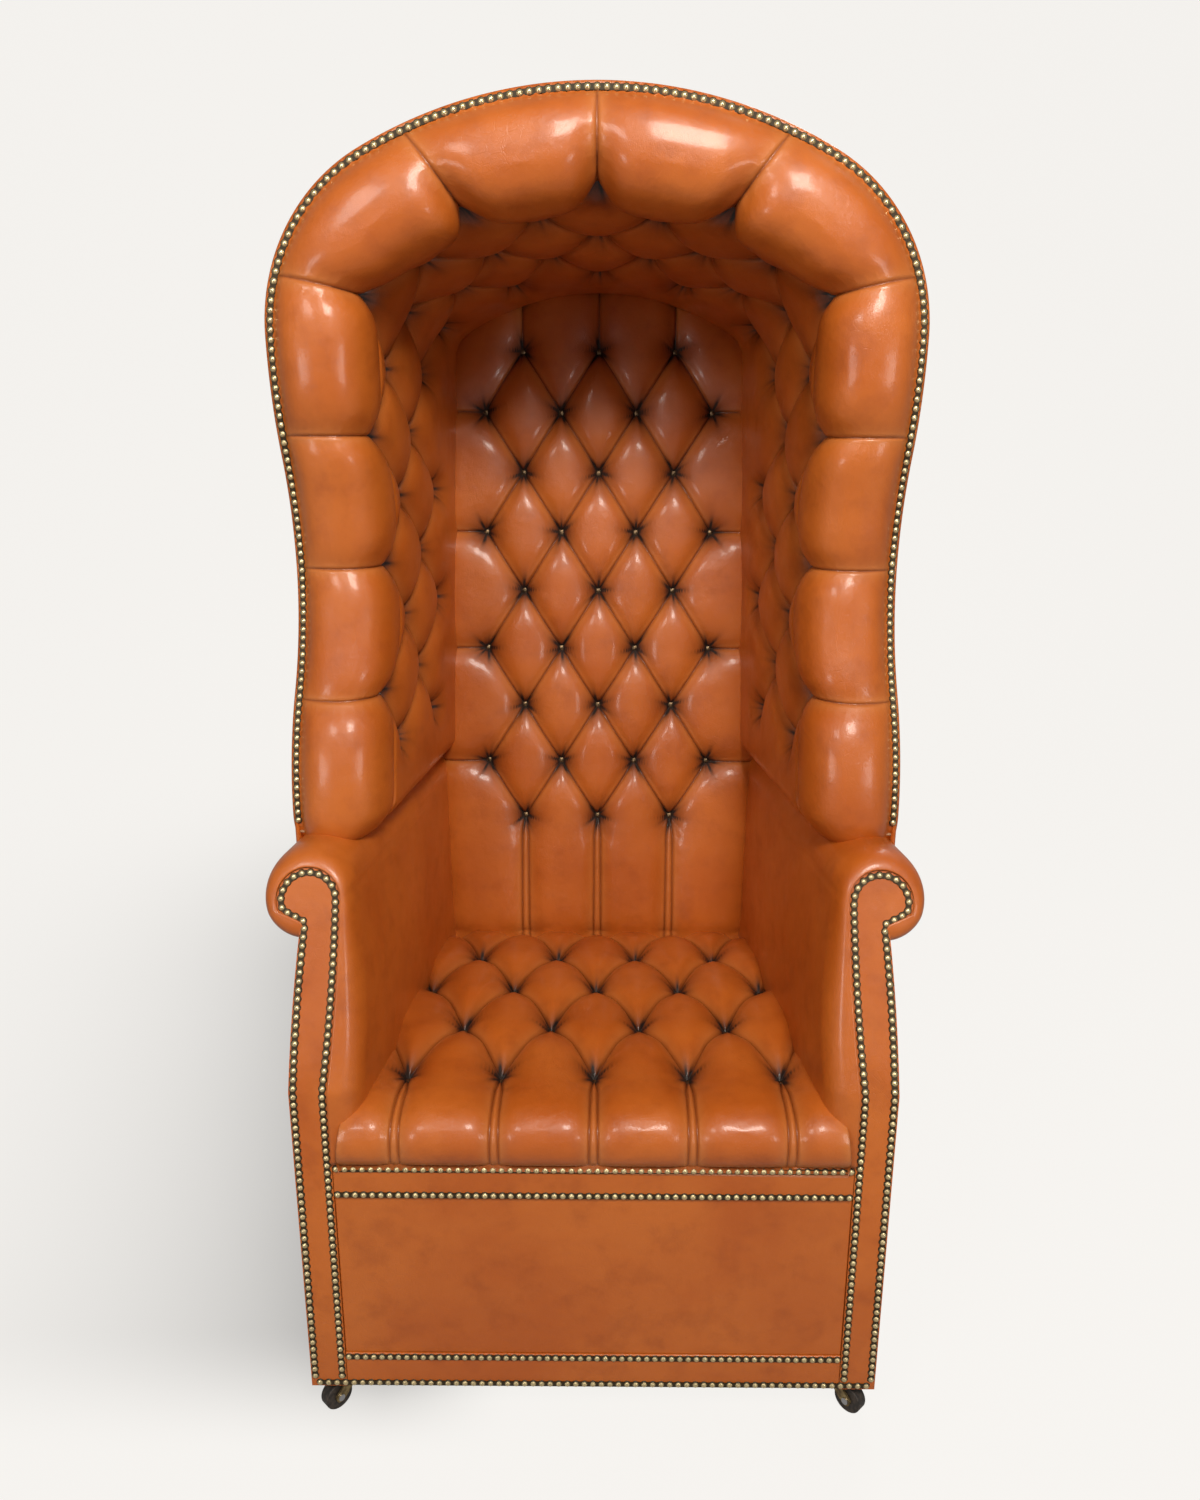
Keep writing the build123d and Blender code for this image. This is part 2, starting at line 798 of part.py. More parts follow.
with BuildPart() as arm_pad_right:
    inner_top = (-arm_roll_inset - arm_roll_radius, arm_roll_height)
    panel_inner = -outside_arm_waist - panel_thickness - fit_gap
    panel_meet = (
        panel_inner,
        arm_roll_height
        - sqrt(arm_roll_radius**2 - (panel_inner + arm_roll_inset) ** 2),
    )
    post_side = -rail_inset - post_width - fit_gap
    with BuildSketch(section_plane(0)):
        with BuildLine():
            Line((-arm_inner_inset, seat_foot), inner_top)
            ThreePointArc(
                inner_top,
                (-arm_roll_inset, arm_roll_height + arm_roll_radius),
                (-arm_roll_inset + arm_roll_radius, arm_roll_height),
            )
            ThreePointArc(
                (-arm_roll_inset + arm_roll_radius, arm_roll_height),
                (
                    -arm_roll_inset + arm_roll_radius * cos(radians(45)),
                    arm_roll_height - arm_roll_radius * sin(radians(45)),
                ),
                panel_meet,
            )
            Polyline(
                panel_meet,
                (panel_inner, arm_rail_height + arm_rail_depth + fit_gap),
                (
                    -arm_rail_inset - arm_rail_thickness - fit_gap,
                    arm_rail_height + arm_rail_depth + fit_gap,
                ),
                (-arm_rail_inset - arm_rail_thickness - fit_gap, arm_rail_height - fit_gap),
                (panel_inner, arm_rail_height - fit_gap),
                (panel_inner, crease_height + fit_gap),
                (post_side, crease_height + fit_gap),
                (post_side, seat_foot),
                (-arm_inner_inset, seat_foot),
            )
        make_face()
    extrude(amount=-base_depth - overrun)
    split(bisect_by=outside_back(back_inner_face + fit_gap), keep=Keep.TOP)
    split(bisect_by=arm_front(-board_thickness), keep=Keep.BOTTOM)
    split(bisect_by=front_face(-board_thickness), keep=Keep.BOTTOM)
    add(pad_envelope(fit_gap), mode=Mode.SUBTRACT)


# Padded roll round the front of the hood
def roll_outline(shrink=0, mode=Mode.ADD):
    """The roll's section: x outward from its middle, y back from the nailed edge."""
    strip = roll_middle_inset - nail_strip - shrink
    inner = roll_middle_inset - hood_padding - roll_overlap + shrink
    stile = roll_middle_inset - hoop_inset - hoop_thickness - 2 * fit_gap - shrink
    with BuildLine() as outline:
        ThreePointArc(
            (strip, -fit_gap), (0, shrink - roll_front_bulge), (inner, roll_nose_depth)
        )
        Polyline(
            (inner, roll_nose_depth),
            (inner, roll_inner_depth),
            (stile, roll_inner_depth),
            (stile, -fit_gap),
            (strip, -fit_gap),
        )
    make_face(outline.edges(), mode=mode)


def pleat_at(plane):
    """A narrow channel round the roll's face, on a plane across the roll."""
    with BuildPart(mode=Mode.PRIVATE) as pleat:
        with BuildSketch(plane.offset(-pleat_width / 2)):
            with Locations((0, -roll_front_bulge)):
                Rectangle(2 * hood_padding, 2 * (roll_front_bulge + roll_nose_depth))
            roll_outline(pleat_depth, Mode.SUBTRACT)
        extrude(amount=pleat_width)
    return pleat.part


def side_point(depth, offset, height):
    """A point beside the right side plane, at a true depth behind the front."""
    length = (depth - offset * sin(radians(toe))) / cos(radians(toe))
    base = Vector(base_front_width / 2, front_y, height)
    return base + along * length + out * offset


with BuildPart() as hood_roll_right:
    roll_offset = hood_overhang - roll_middle_inset
    roll_foot_height = arm_roll_height + arm_roll_radius / 3
    with BuildLine(side_plane(roll_offset)) as roll_path:
        wing_front(0, roll_foot_height)
    roll_wire = roll_path.wires()[0]
    with BuildSketch(Plane(origin=roll_wire @ 0, x_dir=out, z_dir=roll_wire % 0)):
        roll_outline()
    sweep(path=roll_wire)
    add(arm_roll_round(fit_gap), mode=Mode.SUBTRACT)

with BuildPart() as hood_roll_arch:
    with BuildLine(front_face(-hood_front_depth)) as arch_path:
        arch_line(*arch_sizes(hood_front_depth, roll_middle_inset), hood_spring_height)
    arch_wire = arch_path.wires()[0]
    with BuildSketch(Plane(origin=arch_wire @ 0, x_dir=(1, 0, 0), z_dir=(0, 0, 1))):
        roll_outline()
    sweep(path=arch_wire)

# Buttons of the hood: rows follow the arch and run straight down the wings
lining_spring_travel = arch_length(hood_front_depth + roll_inner_depth, hood_padding)


def hood_tuft(row, travel):
    """Place and inward direction of a hood button, travel along the arch right of the crown."""
    further = row * hood_button_row_pitch
    side = 1 if travel >= 0 else -1
    if abs(travel) <= lining_spring_travel:
        depth = hood_front_depth + roll_inner_depth + further
        scale = arch_length(depth, hood_padding) / lining_spring_travel
        point, outward = arch_place(depth, hood_padding, travel * scale)
        return point, -outward
    height = hood_spring_height - (abs(travel) - lining_spring_travel)
    depth = wing_depth(height) + roll_inner_depth + further
    point = side_point(depth, hood_overhang - hood_padding, height)
    return Vector(side * point.X, point.Y, point.Z), Vector(-side * out.X, -out.Y, 0)


def hood_button_place(place, normal):
    """Where a hood button's pit is measured from, nearer the sitter than the lining's face."""
    return place + normal * hood_button_lift


def back_pad_front(height):
    """Depth of the back pad's face at a height."""
    return back_pad_depth + (height - back_pad_reference) * tan(radians(back_pad_lean))


hood_tufts = {}
for row in range(hood_row_count):
    for step in range(-hood_button_count, hood_button_count + 1):
        if (step + row) % 2:
            continue
        place, normal = hood_tuft(row, step * hood_button_pitch / 2)
        above_arm = place.Z > arm_roll_height + arm_roll_radius + tuft_margin
        if above_arm and place.Y - front_y < back_pad_front(place.Z) - tuft_margin:
            hood_tufts[row, step] = (place, normal)


def lining_grooves(right_side, arch):
    """Pits and channels of the hood's lining, on the right wing or on the arch."""
    cuts = []
    for (row, step), (place, normal) in hood_tufts.items():
        on_arch = abs(step) * hood_button_pitch / 2 <= lining_spring_travel + hood_button_pitch
        on_side = step * hood_button_pitch / 2 > lining_spring_travel - hood_button_pitch
        if not ((arch and on_arch) or (right_side and on_side)):
            continue
        cuts.append(dimple_at(hood_button_place(place, normal), normal))
        for side in (1, -1):
            other = hood_tufts.get((row + 1, step + side))
            if other:
                between = (normal + other[1]).normalized()
                cuts.append(groove_between(place, other[0], between))
            elif side == 1 and (row + 1, step - 1) not in hood_tufts:
                behind = place + Vector(0, hood_button_row_pitch, 0)
                cuts.append(groove_between(place, behind, normal))
    return cuts


with BuildPart() as wing_lining_right:
    lining_offset = hood_overhang - hood_padding
    lining_start = roll_inner_depth + fit_gap
    with BuildSketch(side_plane(lining_offset)):
        with BuildLine():
            wing_front(lining_start, roll_foot_height)
            scale = 1 / cos(radians(toe))
            Polyline(
                (wing_depth(hood_spring_height) * scale + lining_start, hood_spring_height),
                (base_depth + overrun, hood_spring_height),
                (base_depth + overrun, roll_foot_height),
                (wing_depth(roll_foot_height) * scale + lining_start, roll_foot_height),
            )
        make_face()
    extrude(amount=hood_padding - lining_backing_inset)
    add(arm_roll_round(fit_gap), mode=Mode.SUBTRACT)
    add(hood_roll_right.part, mode=Mode.SUBTRACT)
    split(bisect_by=back_pad_face(fit_gap), keep=Keep.TOP)
    add(lining_grooves(True, False), mode=Mode.SUBTRACT)

with BuildPart() as roof_lining:
    for depth in (hood_front_depth + lining_start, loft_depth):
        with BuildSketch(front_face(-depth)):
            arch_band(
                arch_sizes(depth, lining_backing_inset),
                arch_sizes(depth, hood_padding),
                hood_spring_height,
            )
    loft(ruled=True)
    split(bisect_by=back_pad_face(fit_gap), keep=Keep.TOP)
    add(lining_grooves(False, True), mode=Mode.SUBTRACT)

# Pleats and pits of the roll
with BuildPart() as tufted_roll_right:
    add(hood_roll_right.part)
    for (row, step), (place, normal) in hood_tufts.items():
        travel = step * hood_button_pitch / 2
        if row == 0 and travel > lining_spring_travel:
            middle = side_point(wing_depth(place.Z), roll_offset, place.Z)
            add(pleat_at(Plane(origin=middle, x_dir=out, z_dir=(0, 0, 1))), mode=Mode.SUBTRACT)
            pit = dimple_at(hood_button_place(place, normal), normal)
            add(pit, mode=Mode.SUBTRACT)

with BuildPart() as tufted_roll_arch:
    add(hood_roll_arch.part)
    for (row, step), (place, normal) in hood_tufts.items():
        travel = step * hood_button_pitch / 2
        if row == 0 and abs(travel) < lining_spring_travel:
            share = travel / lining_spring_travel
            length = arch_length(hood_front_depth, roll_middle_inset)
            middle, outward = arch_place(hood_front_depth, roll_middle_inset, share * length)
            across = Vector(-outward.Z, 0, outward.X)
            add(pleat_at(Plane(origin=middle, x_dir=outward, z_dir=across)), mode=Mode.SUBTRACT)
            pit = dimple_at(hood_button_place(place, normal), normal)
            add(pit, mode=Mode.SUBTRACT)

# Buttoned back pad
pad_slope = 1 / cos(radians(back_pad_lean))
back_face = back_pad_face()
back_toward = back_face.z_dir


def back_place(across, rise):
    """A point on the back pad's face, from its reference height."""
    return back_face.from_local_coords(Vector(across, rise, 0))


top_row_rise = (back_top_button_height - back_pad_reference) * pad_slope
back_tufts = {}
for row in range(back_row_count):
    columns = (-2, 0, 2) if row % 2 == 0 else (-3, -1, 1, 3)
    for column in columns:
        across = column * button_pitch / 2
        rise = top_row_rise - row * button_row_pitch * pad_slope
        back_tufts[row, column] = back_place(across, rise)

back_cuts = [dimple_at(place, back_toward) for place in back_tufts.values()]
back_up = back_face.y_dir
last_row = back_row_count - 1
for (row, column), place in back_tufts.items():
    for side in (1, -1):
        other = back_tufts.get((row + 1, column + side))
        if other:
            back_cuts.append(groove_between(place, other, back_toward))
        elif row < last_row:
            edge = place + Vector(side * button_pitch, 0, 0)
            back_cuts.append(groove_between(place, edge, back_toward))
    if row == 0:
        back_cuts.append(groove_between(place, place + back_up * button_pitch, back_toward))
    if row == last_row:
        seat_end = place - back_up * 2 * button_pitch
        back_cuts.append(groove_between(place, seat_end, back_toward))

with BuildPart() as back_pad:
    add(pad_envelope())
    split(bisect_by=outside_back(back_inner_face + back_post_depth), keep=Keep.TOP)
    split(bisect_by=Plane.XY.offset(seat_foot), keep=Keep.TOP)
    add(back_cuts, mode=Mode.SUBTRACT)

# Sprung seat pad with a rounded front that drops to the nailed rail
seat_top = ThreePointArc(
    (seat_front_crown_depth, seat_front_height),
    (seat_crown_depth, seat_crown_height),
    (back_pad_depth + tuft_margin, seat_back_height),
    mode=Mode.PRIVATE,
)


def seat_height(depth):
    """Height of the seat's crown at a depth."""
    centre = seat_top.arc_center
    return centre.Y + sqrt(seat_top.radius**2 - (depth - centre.X) ** 2)


def seat_place(across, depth):
    """A point on the seat's crown."""
    return Vector(across, front_y + depth, seat_height(depth))


seat_side = arm_inner_inset / cos(radians(toe)) + fit_gap
seat_tufts = {}
for row in range(seat_row_count):
    columns = (-4, -2, 0, 2, 4) if row % 2 == 0 else (-3, -1, 1, 3)
    for column in columns:
        depth = seat_first_button_depth + row * seat_button_row_pitch
        across = column * seat_button_pitch / 2
        if abs(across) < half_width(depth) - seat_side - seat_button_margin:
            seat_tufts[row, column] = seat_place(across, depth)

up = Vector(0, 0, 1)
seat_cuts = [dimple_at(place, up) for place in seat_tufts.values()]
for (row, column), place in seat_tufts.items():
    for side in (1, -1):
        other = seat_tufts.get((row + 1, column + side))
        if other:
            seat_cuts.append(groove_between(place, other, up))
        elif row == seat_row_count - 1:
            behind = place + Vector(side * seat_button_pitch / 2, seat_button_row_pitch, 0)
            seat_cuts.append(groove_between(place, behind, up))
    if row == 0:
        nose = place - Vector(0, seat_first_button_depth, 0)
        seat_cuts.append(groove_between(place, nose, up))
        front_top = Vector(place.X, front_y - seat_front_bulge, seat_front_height)
        front_foot = Vector(place.X, front_y - seat_front_bulge, seat_rail_top)
        seat_cuts.append(groove_between(front_foot, front_top, Vector(0, -1, 0)))

with BuildPart() as seat_pad:
    with BuildSketch(Plane(origin=(0, front_y, 0), x_dir=(0, 1, 0), z_dir=(1, 0, 0))):
        with BuildLine():
            far = back_pad_depth + tuft_margin
            pad_foot = seat_rail_top + fit_gap
            add(seat_top)
            ThreePointArc(
                (0, pad_foot),
                (-seat_front_bulge, seat_nose_height),
                (seat_front_crown_depth, seat_front_height),
            )
            Polyline(
                (far, seat_back_height),
                (far, seat_foot),
                (seat_step_depth, seat_foot),
                (seat_step_depth, pad_foot),
                (0, pad_foot),
            )
        make_face()
    extrude(amount=base_front_width / 2, both=True)
    with BuildSketch(Plane.XY):
        plan(-2 * seat_front_bulge, far, seat_side)
    extrude(amount=seat_crown_height + tuft_margin, mode=Mode.INTERSECT)
    split(bisect_by=back_pad_face(fit_gap), keep=Keep.TOP)
    add(seat_cuts, mode=Mode.SUBTRACT)

# Buttons
with BuildPart() as back_buttons:
    add([button_at(place, back_toward) for place in back_tufts.values()])
with BuildPart() as seat_buttons:
    add([button_at(place, up) for place in seat_tufts.values()])
with BuildPart() as hood_buttons:
    for place, normal in hood_tufts.values():
        add(button_at(hood_button_place(place, normal), normal))

# Zigzag springs, their clips and the deck over them
spring_height = seat_rail_top + spring_wire / 2
clip_depth = board_thickness + rail_thickness - clip_width / 2
back_rail_depth = base_depth + (seat_rail_foot - base_bottom) * tan(radians(back_lean))
spring_end = back_rail_depth - back_inner_face - back_post_depth / 2
spring_turns = int((spring_end - clip_depth - 2 * spring_pitch) / spring_pitch)
spring_lead = (spring_end - clip_depth - spring_turns * spring_pitch) / 2

with BuildPart() as seat_springs:
    for place in spaced(spring_count * spring_spacing, spring_spacing):
        middle = place - spring_count * spring_spacing / 2
        points = [(middle, front_y + clip_depth)]
        side = 1
        points.append((middle, front_y + clip_depth + spring_lead))
        for turn in range(spring_turns):
            start = front_y + clip_depth + spring_lead + turn * spring_pitch
            loop = middle + side * spring_loop_width / 2
            points += [(loop, start), (loop, start + spring_pitch)]
            side = -side
        points.append((middle, front_y + spring_end - spring_lead))
        points.append((middle, front_y + spring_end))
        with BuildPart(mode=Mode.PRIVATE) as spring:
            with BuildLine(Plane.XY.offset(spring_height)) as zigzag:
                FilletPolyline(*points, radius=spring_bend_radius)
            with BuildSketch(Plane(origin=zigzag.wires()[0] @ 0, z_dir=(0, 1, 0))):
                Circle(spring_wire / 2)
            sweep(path=zigzag.wires()[0])
        add(spring.part)

with BuildPart() as spring_clips:
    for place in spaced(spring_count * spring_spacing, spring_spacing):
        middle = place - spring_count * spring_spacing / 2
        for depth in (clip_depth, spring_end):
            clip_plane = Plane(
                origin=(middle, front_y + depth, 0), x_dir=(1, 0, 0), z_dir=(0, -1, 0)
            )
            with BuildSketch(clip_plane):
                with Locations((0, seat_rail_top + clip_height / 2)):
                    Rectangle(clip_width, clip_height)
                with Locations((0, seat_rail_top)):
                    Rectangle(
                        spring_wire + 2 * fit_gap,
                        2 * (spring_wire + fit_gap),
                        mode=Mode.SUBTRACT,
                    )
            extrude(amount=clip_width / 2, both=True)

with BuildPart() as seat_deck:
    with BuildSketch(Plane.XY.offset(deck_foot)):
        deck_start = board_thickness + rail_thickness + fit_gap
        plan(deck_start, back_pad_depth + post_depth, arm_inner_inset + fit_gap)
    extrude(amount=deck_thickness)

# Nails round the hood and wings
hood_nail_places = []
hood_nail_length = arch_length(hood_front_depth, hood_nail_inset)
for travel in spaced(2 * hood_nail_length, nail_pitch):
    point, outward = arch_place(hood_front_depth, hood_nail_inset, travel - hood_nail_length)
    hood_nail_places.append(Plane(origin=point, z_dir=(0, -1, 0)))
height = hood_spring_height - nail_pitch / 2
while height > hood_nail_foot:
    fall = wing_depth(height + slope_step) - wing_depth(height - slope_step)
    lean = atan2(fall, 2 * slope_step)
    point = side_point(wing_depth(height), hood_overhang - hood_nail_inset, height)
    facing = Vector(-along.X * cos(lean), -along.Y * cos(lean), sin(lean))
    hood_nail_places.append(Plane(origin=point, z_dir=facing))
    mirror_point = Vector(-point.X, point.Y, point.Z)
    mirror_facing = Vector(-facing.X, facing.Y, facing.Z)
    hood_nail_places.append(Plane(origin=mirror_point, z_dir=mirror_facing))
    height -= nail_pitch * cos(lean)


def nails_along(start, end, pitch, facing):
    """Planes for nails on a straight line between two points."""
    run = end - start
    return [
        Plane(origin=start + run.normalized() * place, z_dir=facing)
        for place in spaced(run.length, pitch)
    ]


def front_point(across, height):
    """A point on the upright front of the base."""
    return Vector(across, front_y, height)


ahead = Vector(0, -1, 0)
outer_nail_line = base_front_width / 2 - facing_nail_inset
inner_nail_line = base_front_width / 2 - facing_width + facing_nail_inset
facing_nail_places = []
for line in (outer_nail_line, inner_nail_line):
    low = front_point(line, base_nail_height + nail_pitch / 2)
    high = front_point(line, crease_height)
    facing_nail_places += nails_along(low, high, nail_pitch, ahead)
with BuildLine() as scroll_nails:
    scroll_line(facing_nail_inset)
scroll_wire = scroll_nails.wires()[0]
for place in spaced(scroll_wire.length, nail_pitch):
    point = scroll_wire.position_at(place / scroll_wire.length)
    seat = arm_front().from_local_coords(point)
    facing_nail_places.append(Plane(origin=seat, z_dir=arm_front().z_dir))

with BuildPart() as facing_nails:
    right_nails = nails_on(facing_nail_places)
    add(right_nails)
    mirror(about=Plane.YZ)

row_end = inner_nail_line - nail_pitch / 2
apron_nail_places = []
for nail_height_up in (seat_nail_height, apron_top_nail_height, apron_bottom_nail_height):
    left_end = front_point(-row_end, nail_height_up)
    right_end = front_point(row_end, nail_height_up)
    apron_nail_places += nails_along(left_end, right_end, nail_pitch, ahead)

left_end = front_point(-outer_nail_line, base_nail_height)
right_end = front_point(outer_nail_line, base_nail_height)
base_nail_places = nails_along(left_end, right_end, base_nail_pitch, ahead)
side_start = side_point(board_thickness + nail_inset, 0, base_nail_height)
side_end = side_point(base_depth - nail_inset, 0, base_nail_height)
with BuildPart() as side_nails:
    add(nails_on(nails_along(side_start, side_end, base_nail_pitch, out)))
    mirror(about=Plane.YZ)

# Wider-spaced nails round the outside back
back_outside = outside_back()
backward = -back_outside.z_dir
back_nail_places = []
straight_back = (
    ((panel_edge - nail_inset, nail_inset), (panel_edge - nail_inset, roll_foot)),
    ((hood_edge - nail_inset, roll_middle), (hood_edge - nail_inset, spring_rise)),
)
for start, end in straight_back:
    for side in (1, -1):
        begin = back_outside.from_local_coords(Vector(side * start[0], start[1], 0))
        finish = back_outside.from_local_coords(Vector(side * end[0], end[1], 0))
        back_nail_places += nails_along(begin, finish, back_nail_pitch, backward)
foot_left = back_outside.from_local_coords(Vector(-panel_edge + nail_inset, nail_inset, 0))
foot_right = back_outside.from_local_coords(Vector(panel_edge - nail_inset, nail_inset, 0))
back_nail_places += nails_along(foot_left, foot_right, back_nail_pitch, backward)
with BuildLine(back_outside) as back_arch:
    arch_line(
        hood_edge - nail_inset,
        crown_rise - nail_inset,
        hood_back_shoulder - nail_inset,
        spring_rise,
    )
back_arch_wire = back_arch.wires()[0]
for place in spaced(back_arch_wire.length, back_nail_pitch):
    point = back_arch_wire.position_at(place / back_arch_wire.length)
    back_nail_places.append(Plane(origin=point, z_dir=backward))

with BuildPart() as hood_edge_nails:
    add(nails_on(hood_nail_places))
with BuildPart() as apron_nails:
    add(nails_on(apron_nail_places))
with BuildPart() as base_edge_nails:
    add(nails_on(base_nail_places))
    add(side_nails.part)
with BuildPart() as back_edge_nails:
    add(nails_on(back_nail_places))

# Castors: a plate with a pivot, a cast horn that swivels on it, an axle and a wheel
horn_top = -plate_thickness - fit_gap
horn_foot = horn_top - horn_cap_height
axle_drop = wheel_radius - base_bottom
cheek_inner = wheel_width / 2 + wheel_gap
cheek_outer = cheek_inner + cheek_thickness
head_top = horn_foot - fit_gap
wheel_centre = (castor_trail, 0, axle_drop)
axle_plane = Plane(origin=wheel_centre, x_dir=(1, 0, 0), z_dir=(0, -1, 0))

with BuildPart(mode=Mode.PRIVATE) as plate_master:
    with BuildSketch(Plane.XY.offset(-plate_thickness)):
        RectangleRounded(plate_size, plate_size, plate_thickness)
        with GridLocations(screw_spacing, screw_spacing, 2, 2):
            Circle(screw_radius + running_gap, mode=Mode.SUBTRACT)
    extrude(amount=plate_thickness)
    with BuildSketch(Plane.XY.offset(head_top)):
        Circle(pivot_radius)
    extrude(amount=-plate_thickness - head_top)
    with BuildSketch(Plane.XY.offset(head_top - pivot_head_height)):
        Circle(pivot_head_radius)
    extrude(amount=pivot_head_height)

with BuildPart(mode=Mode.PRIVATE) as screw_master:
    with BuildSketch(Plane.XY.offset(-plate_thickness)):
        with GridLocations(screw_spacing, screw_spacing, 2, 2):
            Circle(screw_radius)
    extrude(amount=plate_thickness)
    with BuildSketch(Plane.XY.offset(-plate_thickness - screw_head_height)):
        with GridLocations(screw_spacing, screw_spacing, 2, 2):
            Circle(screw_head_radius)
    extrude(amount=screw_head_height)

with BuildPart(mode=Mode.PRIVATE) as horn_master:
    with BuildSketch(Plane.XY.offset(horn_foot)):
        Circle(horn_cap_radius)
    extrude(amount=horn_cap_height)
    with BuildSketch(Plane(origin=(0, -cheek_inner, 0), x_dir=(1, 0, 0), z_dir=(0, -1, 0))):
        cap_reach = sqrt(horn_cap_radius**2 - cheek_outer**2)
        with Locations((castor_trail, axle_drop)):
            Circle(cheek_boss_radius)
        with Locations((0, horn_foot + cheek_thickness / 2)):
            Rectangle(2 * cap_reach, cheek_thickness)
        make_hull()
        with Locations((castor_trail, axle_drop)):
            Circle(axle_radius + running_gap, mode=Mode.SUBTRACT)
    extrude(amount=cheek_thickness)
    mirror(about=Plane.XZ)
    with BuildSketch(Plane.XY.offset(horn_foot)):
        Circle(pivot_radius + running_gap)
    extrude(amount=horn_cap_height, mode=Mode.SUBTRACT)

with BuildPart(mode=Mode.PRIVATE) as axle_master:
    with BuildSketch(axle_plane):
        Circle(axle_radius)
    extrude(amount=cheek_outer, both=True)
    with BuildSketch(axle_plane.offset(cheek_outer)):
        Circle(axle_head_radius)
    extrude(amount=axle_head_height)
    with BuildSketch(axle_plane.offset(-cheek_outer)):
        Circle(axle_head_radius)
    extrude(amount=-axle_head_height)

with BuildPart(mode=Mode.PRIVATE) as wheel_master:
    with BuildSketch(axle_plane):
        Circle(wheel_radius)
    extrude(amount=wheel_width / 2, both=True)
    fillet(wheel_master.edges(), wheel_width / 8)
    with BuildSketch(axle_plane):
        Circle(axle_radius + running_gap)
    extrude(amount=wheel_width, both=True, mode=Mode.SUBTRACT)


def castor_place(side, depth, angle):
    """A castor's pivot under the base, with its trail turned to an angle on the right side."""
    across = side * (half_width(depth) - castor_pivot_inset)
    turn = angle if side > 0 else 180 - angle
    return Location((across, front_y + depth, base_bottom), (0, 0, turn))


castors = {
    "front_left": castor_place(-1, castor_front_depth, castor_front_angle),
    "front_right": castor_place(1, castor_front_depth, castor_front_angle),
    "back_left": castor_place(-1, castor_back_depth, castor_back_angle),
    "back_right": castor_place(1, castor_back_depth, castor_back_angle),
}

square_places = [place * Rotation(0, 0, -place.orientation.Z) for place in castors.values()]
with BuildPart() as castor_plates:
    add([place * plate_master.part for place in square_places])
with BuildPart() as castor_screws:
    add([place * screw_master.part for place in square_places])

pieces = {
    "bottom_board": bottom_board.part,
    "bottom_cover": bottom_cover.part,
    "front_posts": front_posts.part,
    "back_posts": back_posts.part,
    "bottom_end_rails": bottom_end_rails.part,
    "bottom_side_rails": bottom_side_rails.part,
    "seat_front_rail": seat_front_rail.part,
    "seat_back_rail": seat_back_rail.part,
    "seat_side_rails": seat_side_rails.part,
    "corner_blocks": corner_blocks.part,
    "front_hoop": front_hoop.part,
    "back_hoop": back_hoop.part,
    "hood_slats": hood_slats.part,
    "hood_shell": hood_shell.part,
    "back_panel": back_panel.part,
    "apron_bottom_band": apron_bottom_band.part,
    "apron_panel": apron_panel.part,
    "apron_top_band": apron_top_band.part,
    "seat_springs": seat_springs.part,
    "spring_clips": spring_clips.part,
    "seat_deck": seat_deck.part,
    "seat_pad": seat_pad.part,
    "back_pad": back_pad.part,
    "roof_lining": roof_lining.part,
    "hood_roll_arch": tufted_roll_arch.part,
    "back_buttons": back_buttons.part,
    "seat_buttons": seat_buttons.part,
    "hood_buttons": hood_buttons.part,
    "hood_edge_nails": hood_edge_nails.part,
    "facing_nails": facing_nails.part,
    "apron_nails": apron_nails.part,
    "base_edge_nails": base_edge_nails.part,
    "back_edge_nails": back_edge_nails.part,
    "castor_plates": castor_plates.part,
    "castor_screws": castor_screws.part,
}
right_pieces = {
    "side_panel": side_panel_right.part,
    "wing_panel": wing_panel_right.part,
    "facing": facing_right.part,
    "arm_pad": arm_pad_right.part,
    "wing_lining": wing_lining_right.part,
    "hood_roll": tufted_roll_right.part,
}
for name, piece in right_pieces.items():
    pieces[name + "_right"] = piece
    pieces[name + "_left"] = mirror(piece, about=Plane.YZ, mode=Mode.PRIVATE)
with BuildPart() as arm_rails:
    add(arm_rail_right.part)
    mirror(about=Plane.YZ)
pieces["arm_rails"] = arm_rails.part
for corner, place in castors.items():
    pieces["castor_horn_" + corner] = place * horn_master.part
    pieces["castor_axle_" + corner] = place * axle_master.part
    pieces["castor_wheel_" + corner] = place * wheel_master.part

for name, piece in pieces.items():
    piece.label = name
    export_step(piece, f"parts/{name}.step")

whole = Compound(children=list(pieces.values())).bounding_box()
print("pieces", len(pieces), "size", whole.size, "from", whole.min, "to", whole.max)
for corner, place in castors.items():
    hub = (place * Location(wheel_centre)).position
    print(corner, "pivot", place.position, "angle", place.orientation.Z, "hub", hub)
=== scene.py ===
from math import atan2, cos, pi, radians, sin, sqrt, tan

import bmesh
import bpy
import numpy as np
from mathutils import Matrix, Vector, noise


